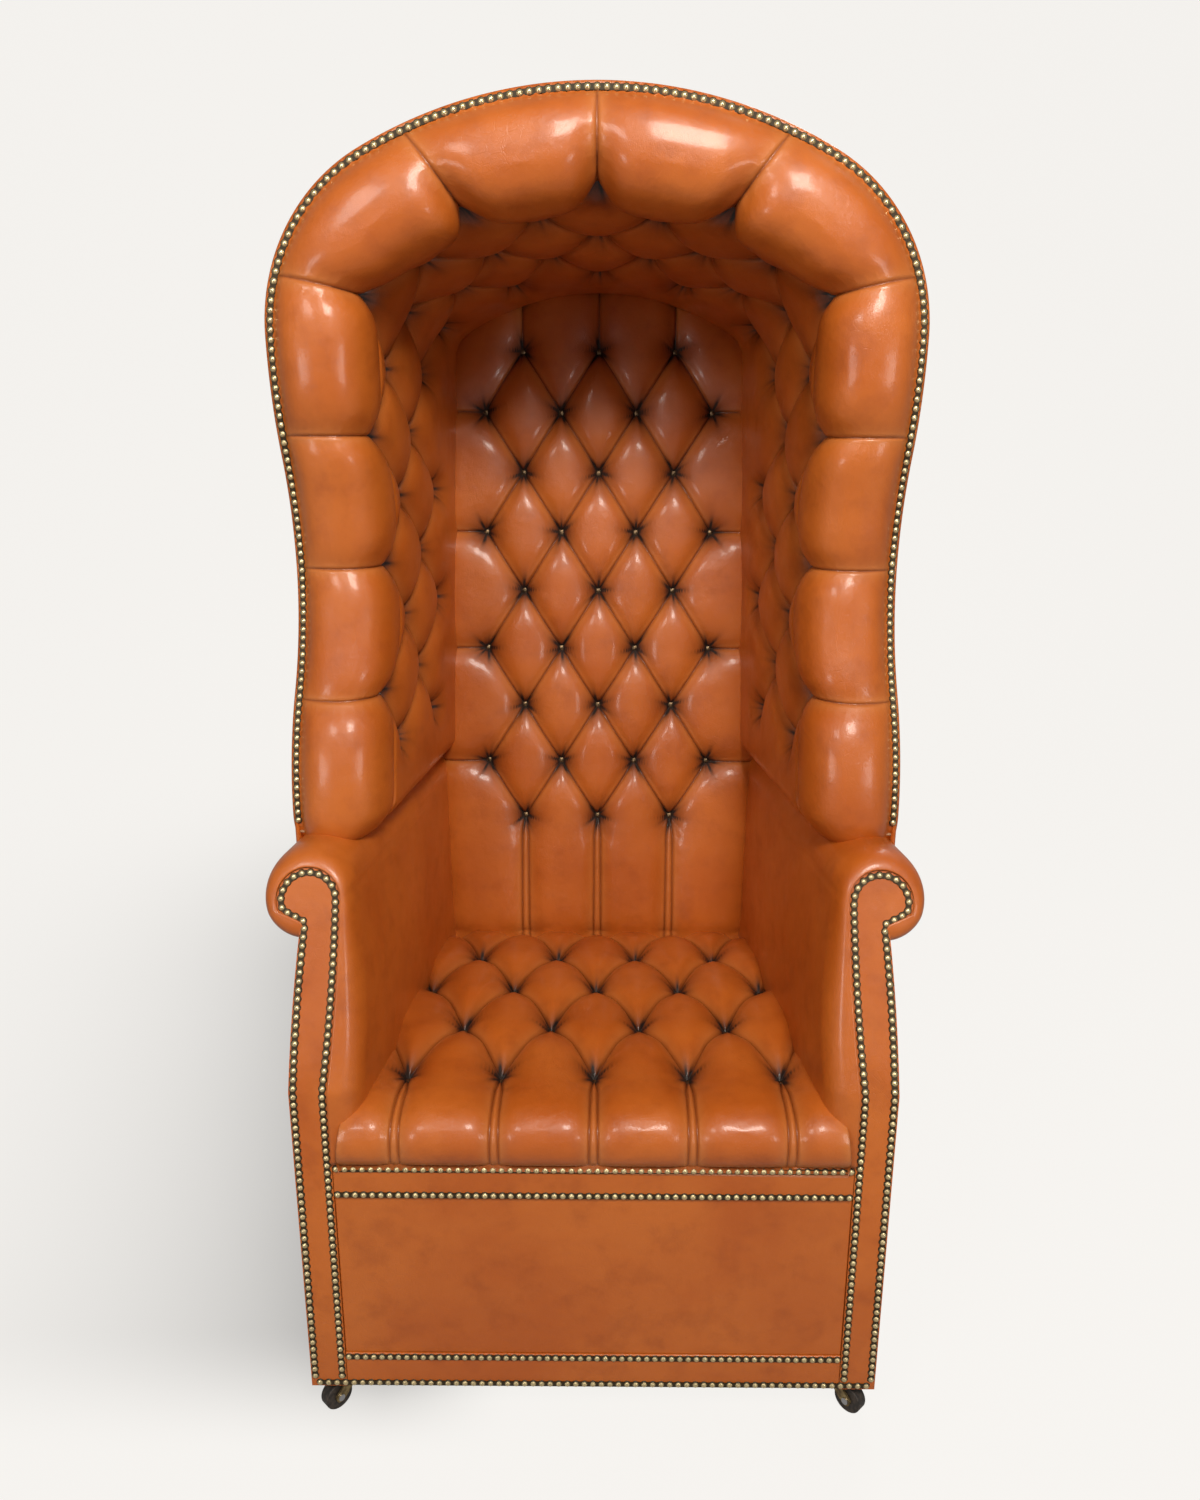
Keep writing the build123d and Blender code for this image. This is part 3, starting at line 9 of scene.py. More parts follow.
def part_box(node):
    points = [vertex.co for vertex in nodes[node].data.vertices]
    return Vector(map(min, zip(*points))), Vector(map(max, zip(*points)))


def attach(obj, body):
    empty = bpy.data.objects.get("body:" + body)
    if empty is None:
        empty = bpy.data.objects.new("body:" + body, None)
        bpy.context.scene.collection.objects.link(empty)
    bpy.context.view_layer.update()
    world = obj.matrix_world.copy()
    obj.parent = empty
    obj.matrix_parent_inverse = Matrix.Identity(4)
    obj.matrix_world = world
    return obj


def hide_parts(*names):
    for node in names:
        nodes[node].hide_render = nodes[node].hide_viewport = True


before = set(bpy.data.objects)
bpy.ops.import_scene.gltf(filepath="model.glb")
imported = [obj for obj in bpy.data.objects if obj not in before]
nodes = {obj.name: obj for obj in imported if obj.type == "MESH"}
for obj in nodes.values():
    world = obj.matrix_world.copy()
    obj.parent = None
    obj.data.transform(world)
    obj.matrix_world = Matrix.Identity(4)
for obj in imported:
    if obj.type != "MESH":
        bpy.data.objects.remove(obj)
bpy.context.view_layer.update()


# Beech frame: posts, rails, hoops, slats and corner blocks, sawn from plain beech
# and glued and screwed together. The leather and the lining hide all of it.
class Wire:
    """A socket of a material's nodes; arithmetic on it adds Math nodes."""

    def __init__(self, socket):
        self.socket = socket
        self.tree = socket.id_data

    @staticmethod
    def make(tree, kind, settings, values, output=0):
        """A new node: its settings are made first, then its sockets are filled."""
        node = tree.nodes.new(kind)
        for key, value in settings.items():
            setattr(node, key, value)
        for key, value in values.items():
            if isinstance(value, Wire):
                tree.links.new(value.socket, node.inputs[key])
            else:
                node.inputs[key].default_value = value
        return Wire(node.outputs[output])

    def math(self, operation, *others):
        """A Math node with this socket as its first value."""
        values = {place + 1: other for place, other in enumerate(others)}
        return Wire.make(
            self.tree, "ShaderNodeMath", {"operation": operation}, {0: self, **values}
        )

    def __add__(self, other):
        return self.math("ADD", other)

    def __mul__(self, other):
        return self.math("MULTIPLY", other)

    def __sub__(self, other):
        return self.math("SUBTRACT", other)

    def __rsub__(self, other):
        return -self + other

    def __neg__(self):
        return self * -1.0

    def fade(self, reach):
        """1 where this distance is zero, falling away over a reach."""
        return (self * (-1.0 / reach)).math("EXPONENT")

    def between(self, low, high):
        """0 at the low value to 1 at the high one, held inside that range."""
        return Wire.make(
            self.tree,
            "ShaderNodeMapRange",
            {"interpolation_type": "SMOOTHSTEP"},
            {"Value": self, "From Min": low, "From Max": high},
        )

    def mix(self, low, high, blend="MIX"):
        """Two colours mixed with this socket as the factor."""
        settings = {"data_type": "RGBA", "blend_type": blend}
        return Wire.make(self.tree, "ShaderNodeMix", settings, {0: self, 6: low, 7: high}, 2)


def new_finish(name):
    """A material with one shader; gives the material, its shader and its object coordinates."""
    material = bpy.data.materials.new(name)
    material.use_nodes = True
    shader = material.node_tree.nodes["Principled BSDF"]
    place = Wire.make(material.node_tree, "ShaderNodeTexCoord", {}, {}, "Object")
    return material, shader, place


def noise_on(place, scale, detail=2.0, rough=0.5, warp=0.0):
    """Soft noise from 0 to 1, scale per metre."""
    values = {
        "Vector": place, "Scale": scale, "Detail": detail, "Roughness": rough, "Distortion": warp,
    }
    return Wire.make(place.tree, "ShaderNodeTexNoise", {}, values)


def fill(shader, **values):
    """Sets or links the shader's sockets; an underscore stands for a space."""
    for key, value in values.items():
        socket = shader.inputs[key.replace("_", " ")]
        if isinstance(value, Wire):
            value.tree.links.new(value.socket, socket)
        else:
            socket.default_value = value


def bumped(height, distance=1.0):
    """A normal from a height in metres."""
    return Wire.make(height.tree, "ShaderNodeBump", {}, {"Height": height, "Distance": distance})


def paint(names, material):
    """Gives CAD nodes a finish."""
    for name in names:
        slots = nodes[name].data.materials
        slots.clear()
        slots.append(material)


beech, shader, place = new_finish("beech")
values = {"Vector": place, "Scale": (60.0, 60.0, 4.0)}
drawn_out = Wire.make(place.tree, "ShaderNodeMapping", {}, values)
grain = noise_on(drawn_out, 3.0, 6.0, 0.6, 0.4)
fill(
    shader,
    Base_Color=grain.between(0.3, 0.7).mix((0.38, 0.22, 0.11, 1), (0.55, 0.37, 0.21, 1)),
    Roughness=0.62,
    Normal=bumped(grain, 0.0004),
)
paint(
    [
        "bottom_board", "front_posts", "back_posts", "bottom_end_rails", "bottom_side_rails",
        "seat_front_rail", "seat_back_rail", "seat_side_rails", "corner_blocks", "front_hoop",
        "back_hoop", "hood_slats", "arm_rails",
    ],
    beech,
)

# Zigzag springs of steel wire, clipped to the seat rails, with a hessian deck tacked
# over them. The castors' screws and axles are of the same steel.
steel, shader, place = new_finish("steel")
scuff = noise_on(place, 300.0, 3.0)
fill(shader, Base_Color=(0.42, 0.42, 0.43, 1), Metallic=1.0, Roughness=scuff * 0.2 + 0.3)
paint(["seat_springs", "spring_clips", "castor_screws"], steel)


def threads(place, direction, scale):
    """Bands of thread that lie across one direction."""
    settings = {"wave_type": "BANDS", "bands_direction": direction}
    values = {"Vector": place, "Scale": scale}
    return Wire.make(place.tree, "ShaderNodeTexWave", settings, values, 1)


hessian, shader, place = new_finish("hessian")
weave = threads(place, "X", 120.0) * threads(place, "Y", 120.0)
fill(
    shader,
    Base_Color=weave.mix((0.22, 0.15, 0.08, 1), (0.50, 0.38, 0.23, 1)),
    Roughness=0.9,
    Normal=bumped(weave, 0.0006),
)
paint(["seat_deck"], hessian)

# Bottom cover: a thin board faced with black cotton, tacked under the frame
# between the castors. It hides the springs and the rails from below.
black_cotton, shader, place = new_finish("black_cotton")
twill = threads(place, "DIAGONAL", 220.0)
fill(
    shader,
    Base_Color=twill.mix((0.012, 0.011, 0.010, 1), (0.045, 0.040, 0.036, 1)),
    Roughness=0.95,
    Normal=bumped(twill, 0.0003),
)
paint(["bottom_cover"], black_cotton)

# Leather boards: thin boards under one hide of waxed tan leather, wrapped over their edges.
# They are the base's sides, the outside back, the arm fronts and the three aprons.
TAN_LIGHT = (0.508, 0.127, 0.016, 1)
TAN_MID = (0.421, 0.089, 0.008, 1)
TAN_DEEP = (0.215, 0.033, 0.002, 1)
STAIN_AND_SHADE = (0.014, 0.005, 0.002, 1)
WORN_AND_SHEEN = (0.660, 0.240, 0.060, 1)
PORE_DEPTH = 0.00005
CELL_DEPTH = 0.00007
CRACK_DEPTH = 0.00012
WAVE_DEPTH = 0.0012
PUCKER_DEPTH = 0.0010
PUCKER_REACH = 0.03
DIRT_AND_SHADE_REACH = 0.0105
STAR_REACH = 0.026
SHADE_REACH = 0.022
FOLD_LINE = 0.0009
FOLD_SHADE = 0.007
RUBBED_AND_SHEEN = (0.0042, 0.0019)


def leather(name, tufted):
    """Waxed tan hide; a tufted one is darkened round its buttons by dirt and painted shade, has
    painted shade along its folds and the edges marked with them, and a band lightened by wear and
    painted highlight beside its folds.
    """
    material, shader, place = new_finish(name)
    cloud = noise_on(place, 5.0, 4.0, 0.55, 0.3)
    patch = noise_on(place, 26.0, 4.0, 0.6)
    pores = noise_on(place, 1500.0, 2.0, 0.6)
    cells, cracks = (
        Wire.make(
            place.tree, "ShaderNodeTexVoronoi", {"feature": "DISTANCE_TO_EDGE"},
            {"Vector": place, "Scale": scale},
        )
        for scale in (520.0, 75.0)
    )
    worn = noise_on(place, 9.0, 3.0).between(0.45, 0.75)
    colour = cloud.between(0.3, 0.7).mix(TAN_MID, TAN_LIGHT)
    colour = (patch.between(0.45, 0.8) * 0.35).mix(colour, TAN_DEEP)
    colour = (pores.between(0.5, 0.8) * 0.18).mix(colour, TAN_DEEP)
    height = cells.between(0.0, 0.12) * CELL_DEPTH + pores * PORE_DEPTH
    height = height + noise_on(place, 38.0, 3.0, 0.5) * WAVE_DEPTH
    height = height + cracks.between(0.0, 0.05) * worn * CRACK_DEPTH
    rough = patch * 0.18 + 0.28
    if tufted:
        fold, pit, tuck = (
            Wire.make(place.tree, "ShaderNodeAttribute", {"attribute_name": mark}, {}, "Fac")
            for mark in ("fold", "pit", "tuck")
        )
        patchiness = noise_on(place, 55.0, 4.0, 0.65) + 0.4
        # Dirt and painted shade darken each button's pit, more in the valleys of the tucks that run
        # out from it.
        star = tuck.math("MULTIPLY", -1.6).math("MAXIMUM", 0.0)
        stain_and_shade = pit.fade(DIRT_AND_SHADE_REACH) * patchiness * 1.7 + star * pit.fade(STAR_REACH) * 1.3
        # A thin dark line of painted shade along each fold and each edge kept in the fold mark.
        line = fold.fade(FOLD_LINE) * 0.5
        # Painted shade beside each fold, and below also round each button's pit.
        shade = fold.fade(FOLD_SHADE) * 0.30 * patchiness
        # A band beside each fold is lightened, part wear where the ridge rubs and part painted
        # highlight.
        lip = fold.fade(RUBBED_AND_SHEEN[0]) - fold.fade(RUBBED_AND_SHEEN[1])
        lip = lip * pit.between(0.004, 0.02) * patchiness
        colour = (lip * 1.5).math("MINIMUM", 0.8).mix(colour, WORN_AND_SHEEN)
        shade = shade + pit.fade(SHADE_REACH) * 0.7
        colour = shade.math("MINIMUM", 0.85).mix(colour, TAN_DEEP)
        colour = (line + stain_and_shade).math("MINIMUM", 1.0).mix(colour, STAIN_AND_SHADE)
        ripple = noise_on(place, 170.0, 3.0, 0.6, 0.8)
        height = height + ripple * pit.fade(PUCKER_REACH) * PUCKER_DEPTH
        rough = rough + stain_and_shade.math("MINIMUM", 1.0) * 0.25
    fill(
        shader,
        Base_Color=colour,
        Roughness=rough,
        Specular_IOR_Level=0.42,
        Coat_Weight=0.20,
        Coat_Roughness=0.15,
        Normal=bumped(height),
    )
    return material


board_leather = leather("board_leather", False)
tufted_leather = leather("tufted_leather", True)
BOARD_ROUND = 0.0018
BOARD_TURN = radians(38)
FLAT_TURN = radians(0.6)
WELD = 0.00002


def finished(bm, name, material, body="chair"):
    """Turns a bmesh into a smooth-shaded piece that rides on a body."""
    mesh = bpy.data.meshes.new(name)
    bm.to_mesh(mesh)
    bm.free()
    mesh.materials.append(material)
    mesh.shade_smooth()
    piece = bpy.data.objects.new(name, mesh)
    bpy.context.scene.collection.objects.link(piece)
    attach(piece, body)
    return piece


def backed(piece, thickness):
    """Gives a sheet of leather its thickness, on its inner side."""
    hide = piece.modifiers.new("hide", "SOLIDIFY")
    hide.thickness = thickness
    hide.offset = -1.0


def wrapped_board(node):
    """A copy of a CAD board with its corners rounded as leather rounds them."""
    bm = bmesh.new()
    bm.from_mesh(nodes[node].data)
    bmesh.ops.remove_doubles(bm, verts=bm.verts, dist=WELD)
    bmesh.ops.dissolve_limit(
        bm, angle_limit=FLAT_TURN, use_dissolve_boundaries=False,
        verts=bm.verts, edges=bm.edges, delimit=set(),
    )
    corners = [e for e in bm.edges if e.is_manifold and e.calc_face_angle() > BOARD_TURN]
    bmesh.ops.bevel(
        bm, geom=corners, offset=BOARD_ROUND, affect="EDGES", segments=3, profile=0.5,
        material=-1, clamp_overlap=True,
    )
    bmesh.ops.recalc_face_normals(bm, faces=bm.faces)
    piece = finished(bm, node + "_cover", board_leather)
    for polygon in piece.data.polygons:
        polygon.use_smooth = True
    weighted = piece.modifiers.new("even_shading", "WEIGHTED_NORMAL")
    weighted.keep_sharp = False
    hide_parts(node)
    return piece


for node in (
    "side_panel_left", "side_panel_right", "back_panel", "facing_left", "facing_right",
    "apron_bottom_band", "apron_panel", "apron_top_band",
):
    wrapped_board(node)

# Arm pads: one hide over a rolled, stuffed arm. It laps the front of the arm in a soft lip
# round the scroll, runs down the inside to the seat and back under the wings.
FRONT_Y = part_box("facing_right")[0].y
BASE_HALF = 0.358
BASE_DEPTH = 0.59
BASE_BOTTOM = 0.055
TAPER = 0.071 / BASE_DEPTH
TOE = atan2(TAPER, 1)
CREASE = 0.48
ARM_LEAN = radians(21.2)
ARM_FOOT = 0.384
FACING_EDGE = 0.313
ROLL_CENTRE = (-0.003, 0.692)
ROLL_RADIUS = 0.050
SCROLL_CENTRE = (0.3405, 0.225)
SCROLL_RADIUS = 0.038
HOOK = radians(22)
WAIST = (0.349, 0.199)
LIP = 0.034
LIP_BULGE = 0.005
LIP_CURVE = 0.9
LIP_GRID = 0.25
LIP_SPAN = LIP * 1.2
ARM_BEHIND = 0.70
ARM_PLUMP = 0.019
ARM_INSIDE = (-0.060, 0.007)
INSIDE_SHARE = 0.46
SCROLL_SHARE = 0.72
ROLL_TURN = 285
PLUMP_TOP = 0.01
PLUMP_UP = 0.045
PLUMP_DOWN = 0.20
PLUMP_BACK = (0.56, 0.45)
PUFF_SCALE = 9.0
PUFF_DEPTH = 0.0016
ARM_START = 0.0012
ARM_CLEAR = 0.007
ARM_WELD = 0.00005
ARM_HIDE = 0.004
ARM_AROUND = 120
ARM_ALONG = 110
BACK_LEAN = tan(radians(6))


def half_width(depth):
    """Half the base's width at a depth behind its front."""
    return BASE_HALF - TAPER * depth


def arm_front(height):
    """Depth of the arm's leaning front at a height."""
    return max(0.0, height - CREASE) * tan(ARM_LEAN)


def outside_back(height):
    """Depth of the outside back's face at a height."""
    return BASE_DEPTH + (height - BASE_BOTTOM) * BACK_LEAN


def arm_outline(share):
    """Round the arm from its inner foot over the roll to its outside: full and at the lip."""
    ring_height = CREASE + SCROLL_CENTRE[1] * cos(ARM_LEAN)
    if share < INSIDE_SHARE:
        t = share / INSIDE_SHARE
        height = ARM_FOOT + (ring_height - ARM_FOOT) * t
        full = (
            ARM_INSIDE[0] + ARM_INSIDE[1] * t, height + (ROLL_CENTRE[1] - ring_height) * t,
        )
        sway = max(0.0, (height - CREASE) / (ring_height - CREASE))
        sway *= 2 - sway
        edge = FACING_EDGE + (SCROLL_CENTRE[0] - SCROLL_RADIUS - FACING_EDGE) * sway
        return full, (edge, height)
    t = (share - INSIDE_SHARE) / (1 - INSIDE_SHARE)
    angle = radians(180 - ROLL_TURN * t)
    full = (
        ROLL_CENTRE[0] + ROLL_RADIUS * cos(angle), ROLL_CENTRE[1] + ROLL_RADIUS * sin(angle),
    )
    turn = pi - (pi + HOOK) * min(1.0, t / SCROLL_SHARE)
    across = SCROLL_CENTRE[0] + SCROLL_RADIUS * cos(turn)
    rise = SCROLL_CENTRE[1] + SCROLL_RADIUS * sin(turn)
    if t > SCROLL_SHARE:
        run = (t - SCROLL_SHARE) / (1 - SCROLL_SHARE)
        across += (WAIST[0] - across) * run
        rise += (WAIST[1] - rise) * run
    return full, (across, CREASE + rise * cos(ARM_LEAN))


def plumpness(height, depth):
    """How far the stuffing pushes the arm's inner side out."""
    up = min(1.0, max(0.0, (height - ARM_FOOT) / PLUMP_UP))
    down = min(1.0, max(0.0, (ROLL_CENTRE[1] + PLUMP_TOP - height) / PLUMP_DOWN))
    back = min(1.0, max(0.0, (PLUMP_BACK[0] - depth) / PLUMP_BACK[1]))
    return ARM_PLUMP * (0.35 + 0.65 * up) * sin(down * pi / 2) * (0.15 + 0.85 * back)


def arm_point(share, run):
    """A point of the right arm's leather, run metres behind its front."""
    full, lip = arm_outline(share)
    turn = min(1.0, run / LIP)
    swell = sin(turn * pi / 2) ** LIP_CURVE
    height = lip[1] + (full[1] - lip[1]) * swell
    depth = arm_front(height) + run * (0.55 + 0.45 * turn) - LIP_BULGE * sin(turn * pi)
    depth = min(depth, outside_back(height) - ARM_CLEAR)
    inward = plumpness(height, depth) if share < INSIDE_SHARE else 0.0
    across = half_width(depth) + full[0] - inward
    across = lip[0] + (across - lip[0]) * swell
    spot = Vector((share * PUFF_SCALE, depth * PUFF_SCALE, 3.0))
    puff = noise.noise(spot) * PUFF_DEPTH * swell
    return Vector((across - puff, FRONT_Y + depth + ARM_START, height + puff))


for side, hand in ((1, "right"), (-1, "left")):
    bm = bmesh.new()
    bmesh.ops.create_grid(bm, x_segments=ARM_AROUND, y_segments=ARM_ALONG, size=0.5)
    for vert in bm.verts:
        share, way = vert.co.x + 0.5, vert.co.y + 0.5
        if way < LIP_GRID:
            run = LIP_SPAN * way / LIP_GRID
        else:
            run = LIP_SPAN + ARM_BEHIND * (way - LIP_GRID) / (1 - LIP_GRID)
        point = arm_point(share, run)
        vert.co = (side * point.x, point.y, point.z)
    bmesh.ops.remove_doubles(bm, verts=bm.verts, dist=ARM_WELD)
    if side > 0:
        bmesh.ops.reverse_faces(bm, faces=bm.faces)
    arm = finished(bm, "arm_leather_" + hand, board_leather)
    backed(arm, ARM_HIDE)
    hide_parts("arm_pad_" + hand)

# Hood cover: one hide over the bent hoops and slats, from wing foot over the crown to wing
# foot, glued to a thin shell and nailed along its front and back edges.
OVERHANG = 0.041
WING_FOOT = (0.175, 0.760)
WING_WAIST = (0.242, 1.065)
SPRING = (0.197, 1.330)
CROWNS = (1.588, 1.515)
SHOULDERS = (0.218, 0.128)
PADDING = 0.086
ROLL_DEPTH = 0.050


def wing_depth(height):
    """Depth of the wing's front edge at a height."""
    if height >= WING_WAIST[1]:
        (start, low), (end, high) = WING_WAIST, SPRING
    else:
        (start, low), (end, high) = WING_FOOT, WING_WAIST
    height = min(max(height, low), high)
    step, rise = abs(end - start), high - low
    radius = (step**2 + rise**2) / (4 * step)
    if height < (low + high) / 2:
        moved = radius - sqrt(radius**2 - (height - low) ** 2)
    else:
        moved = step - radius + sqrt(radius**2 - (high - height) ** 2)
    return start + (moved if end > start else -moved)


def arch_shape(depth, inset):
    """Half width, crown and shoulder radius of the hood, and its crown arc and turning angle."""
    far = outside_back(SPRING[1])
    share = (depth - SPRING[0]) / (far - SPRING[0])
    crown = CROWNS[0] + share * (CROWNS[1] - CROWNS[0]) - inset
    shoulder = SHOULDERS[0] + share * (SHOULDERS[1] - SHOULDERS[0]) - inset
    half = half_width(depth) + OVERHANG - inset
    rise = crown - SPRING[1]
    big = (half**2 - 2 * half * shoulder + rise**2) / (2 * (rise - shoulder))
    turn = atan2(big - rise, half - shoulder)
    return half, crown, shoulder, big, turn


def arch_length(depth, inset):
    """Length of the arch from its crown to its springing."""
    half, crown, shoulder, big, turn = arch_shape(depth, inset)
    return big * (pi / 2 - turn) + shoulder * turn


REACH = arch_length(SPRING[0] + ROLL_DEPTH, PADDING)


def hood_point(travel, behind, inset):
    """Point and outward direction on the hood: travel right of the crown, behind its edge."""
    side = 1 if travel >= 0 else -1
    if abs(travel) > REACH:
        height = SPRING[1] - (abs(travel) - REACH)
        depth = wing_depth(height) + behind
        across = half_width(depth) + OVERHANG - inset
        outward = Vector((side * cos(TOE), sin(TOE), 0))
        return Vector((side * across, FRONT_Y + depth, height)), outward
    depth = SPRING[0] + behind
    half, crown, shoulder, big, turn = arch_shape(depth, inset)
    distance = abs(travel) / REACH * (big * (pi / 2 - turn) + shoulder * turn)
    if distance < big * (pi / 2 - turn):
        angle = pi / 2 - distance / big
        across, height = big * cos(angle), crown - big + big * sin(angle)
    else:
        angle = max(0.0, turn - (distance - big * (pi / 2 - turn)) / shoulder)
        across = half - shoulder + shoulder * cos(angle)
        height = SPRING[1] + shoulder * sin(angle)
    outward = Vector((side * cos(angle), 0, sin(angle)))
    return Vector((side * across, FRONT_Y + depth, height)), outward


COVER_FOOT = 0.700
COVER_HIDE = 0.0045
COVER_START = 0.0008
COVER_CLEAR = 0.0065
COVER_EASE = (0.0016, 0.004)
COVER_TRAVEL = REACH + SPRING[1] - COVER_FOOT
bm = bmesh.new()
bmesh.ops.create_grid(bm, x_segments=260, y_segments=26, size=0.5)
for vert in bm.verts:
    travel, way = vert.co.x * 2 * COVER_TRAVEL, vert.co.y + 0.5
    start, outward = hood_point(travel, 0.0, 0.0)
    room = outside_back(start.z) - COVER_CLEAR - (start.y - FRONT_Y)
    if abs(travel) <= REACH:
        far, outward = hood_point(travel, room, 0.0)
        room = outside_back(far.z) - COVER_CLEAR - (start.y - FRONT_Y)
    behind = COVER_START + way * (room - COVER_START)
    place, outward = hood_point(travel, behind, 0.0)
    ease = COVER_EASE[0] * max(0.0, 1 - (behind - COVER_START) / COVER_EASE[1]) ** 2
    vert.co = place - outward * ease
bmesh.ops.recalc_face_normals(bm, faces=bm.faces)
cover = finished(bm, "hood_cover", board_leather)
backed(cover, COVER_HIDE)
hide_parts("hood_shell", "wing_panel_left", "wing_panel_right")


# Hood lining: one deep-buttoned hide. It starts under the nails, rolls over a stuffed edge,
# is pulled in at every button, and runs back to the back pad in diamonds.
CLOSENESS = 0.78
SCORE_REACH = 0.012
SCORE_START = 0.004
SCORES = (-0.0055, -0.003, -0.0011, 0.0, 0.0011, 0.003, 0.0055)
PIT_REACH = 0.0165
PIT_CLEAR = 0.010
GROOVE = (0.0015, 0.0010)
RIDGE = (0.0011, 0.0032, 0.0018)
LONG_TURN = 2.39996
MARK_LIMIT = 0.2
MARK_EDGE = 0.0005


def lattice_net(cells, divisions, half_pitch, middle):
    """A flat net whose lines run along a diamond lattice, closer together near its folds."""
    net = bmesh.new()
    count = cells * divisions
    bmesh.ops.create_grid(net, x_segments=count, y_segments=count, size=cells / 2)
    for vert in net.verts:
        x, y = vert.co.x, vert.co.y
        x -= CLOSENESS * sin(2 * pi * x) / (2 * pi)
        y -= CLOSENESS * sin(2 * pi * y) / (2 * pi)
        vert.co.x = (x - y) * half_pitch[0] + middle[0]
        vert.co.y = (x + y) * half_pitch[1] + middle[1]
    return net


def trim(net, point, outward):
    """Cuts away the net beyond a line."""
    everything = net.verts[:] + net.edges[:] + net.faces[:]
    bmesh.ops.bisect_plane(
        net, geom=everything, dist=1e-6, plane_co=(*point, 0), plane_no=(*outward, 0),
        clear_outer=True,
    )


def score(net, folds):
    """Cuts lines along and beside the folds that leave the lattice, so they can be formed."""
    for start, end in folds:
        start, end = Vector((*start, 0)), Vector((*end, 0))
        run = (end - start).normalized()
        across = Vector((-run.y, run.x, 0))
        length = (end - start).length
        strip = []
        for face in net.faces:
            way = face.calc_center_median() - start
            if abs(way.dot(across)) < SCORE_REACH and -SCORE_START < way.dot(run) < length:
                strip.append(face)
        for offset in SCORES:
            parts = set(strip)
            for face in strip:
                parts.update(face.edges)
                parts.update(face.verts)
            result = bmesh.ops.bisect_plane(
                net, geom=list(parts), dist=1e-5, plane_co=start + across * offset,
                plane_no=across,
            )
            strip = [item for item in result["geom"] if isinstance(item, bmesh.types.BMFace)]


def folds_between(buttons):
    """The folds from each button to its two nearest in the next row."""
    folds = []
    for (row, step), start in buttons.items():
        for side in (1, -1):
            other = buttons.get((row + 1, step + side))
            if other:
                folds.append((start, other))
    return folds


def measured(net, buttons, folds):
    """For each point of the net: its distance to the nearest fold and whether it is above
    it, the distance joined softly over all folds, and its distance and angle from the
    nearest button."""
    flat = np.array([vert.co[:2] for vert in net.verts])
    near = np.full(len(flat), 1.0)
    soft = np.zeros(len(flat))
    above = np.zeros(len(flat))
    for start, end in folds:
        run = np.subtract(end, start)
        share = np.clip((flat - start) @ run / (run @ run), 0, 1)
        way = flat - start - share[:, None] * run
        gap = np.hypot(*way.T)
        soft += (gap + 1e-6) ** -3.0
        closer = gap < near
        near[closer] = gap[closer]
        slant = min(1.0, abs(run[0]) / (abs(run[1]) + 1e-9))
        above[closer] = 0.5 + 0.5 * slant * np.sign(way[closer, 1])
    soft = soft ** (-1 / 3)
    pit = np.full(len(flat), 1.0)
    angle = np.zeros(len(flat))
    which = np.zeros(len(flat))
    for place, button in enumerate(buttons):
        way = flat - button
        gap = np.hypot(*way.T)
        closer = gap < pit
        pit[closer] = gap[closer]
        angle[closer] = np.arctan2(*way[closer].T)
        which[closer] = place
    return flat, near, above, soft, pit, angle, which


def quilted(near, above, soft, pit, deep, plump, reach):
    """Height of a buttoned hide: pits at its buttons, pillows, and folds tucked one way."""
    level = deep * (1 - np.exp(-pit / PIT_REACH))
    share = np.minimum(soft / reach, 1.0)
    pillow = plump * (1 - (1 - share) ** 2)
    clear = np.minimum(1.0, pit / PIT_CLEAR)
    groove = GROOVE[0] * np.exp(-near / GROOVE[1]) * clear
    ridge = RIDGE[0] * np.exp(-(((near - RIDGE[1]) / RIDGE[2]) ** 2)) * (0.15 + 0.85 * above) * clear
    return level + pillow - groove + ridge


def tucks(pit, angle, which, reach):
    """Small creases that run out from each button."""
    total = np.zeros(len(pit))
    for count, weight in ((5, 0.5), (8, 0.4), (13, 0.3)):
        total += weight * np.sin(count * angle + which * LONG_TURN * count)
    return total * np.exp(-((pit / reach) ** 1.5)) * np.minimum(1, pit / 0.006)


def settle(net, points, near, pit, tuck, name, closed_by, normal_up):
    """Moves the net's points into place, closes it and keeps its marks for the finish."""
    net.verts.ensure_lookup_table()
    for vert, point in zip(net.verts, points):
        vert.co = point
    for mark, values in (("fold", near), ("pit", pit), ("tuck", tuck)):
        layer = net.verts.layers.float.new(mark)
        for vert, value in zip(net.verts, values):
            vert[layer] = min(value, MARK_LIMIT)
    bmesh.ops.recalc_face_normals(net, faces=net.faces)
    total = Vector()
    for face in net.faces:
        total += face.normal * face.calc_area()
    if total.dot(normal_up) < 0:
        bmesh.ops.reverse_faces(net, faces=net.faces)
    if closed_by is not None:
        rim = [edge for edge in net.edges if edge.is_boundary]
        result = bmesh.ops.extrude_edge_only(net, edges=rim)["geom"]
        skirt = [item for item in result if isinstance(item, bmesh.types.BMVert)]
        bmesh.ops.translate(net, verts=skirt, vec=closed_by)
        hem = [item for item in result if isinstance(item, bmesh.types.BMEdge)]
        bmesh.ops.holes_fill(net, edges=hem, sides=0)
        bmesh.ops.recalc_face_normals(net, faces=net.faces)
    return finished(net, name, tufted_leather)


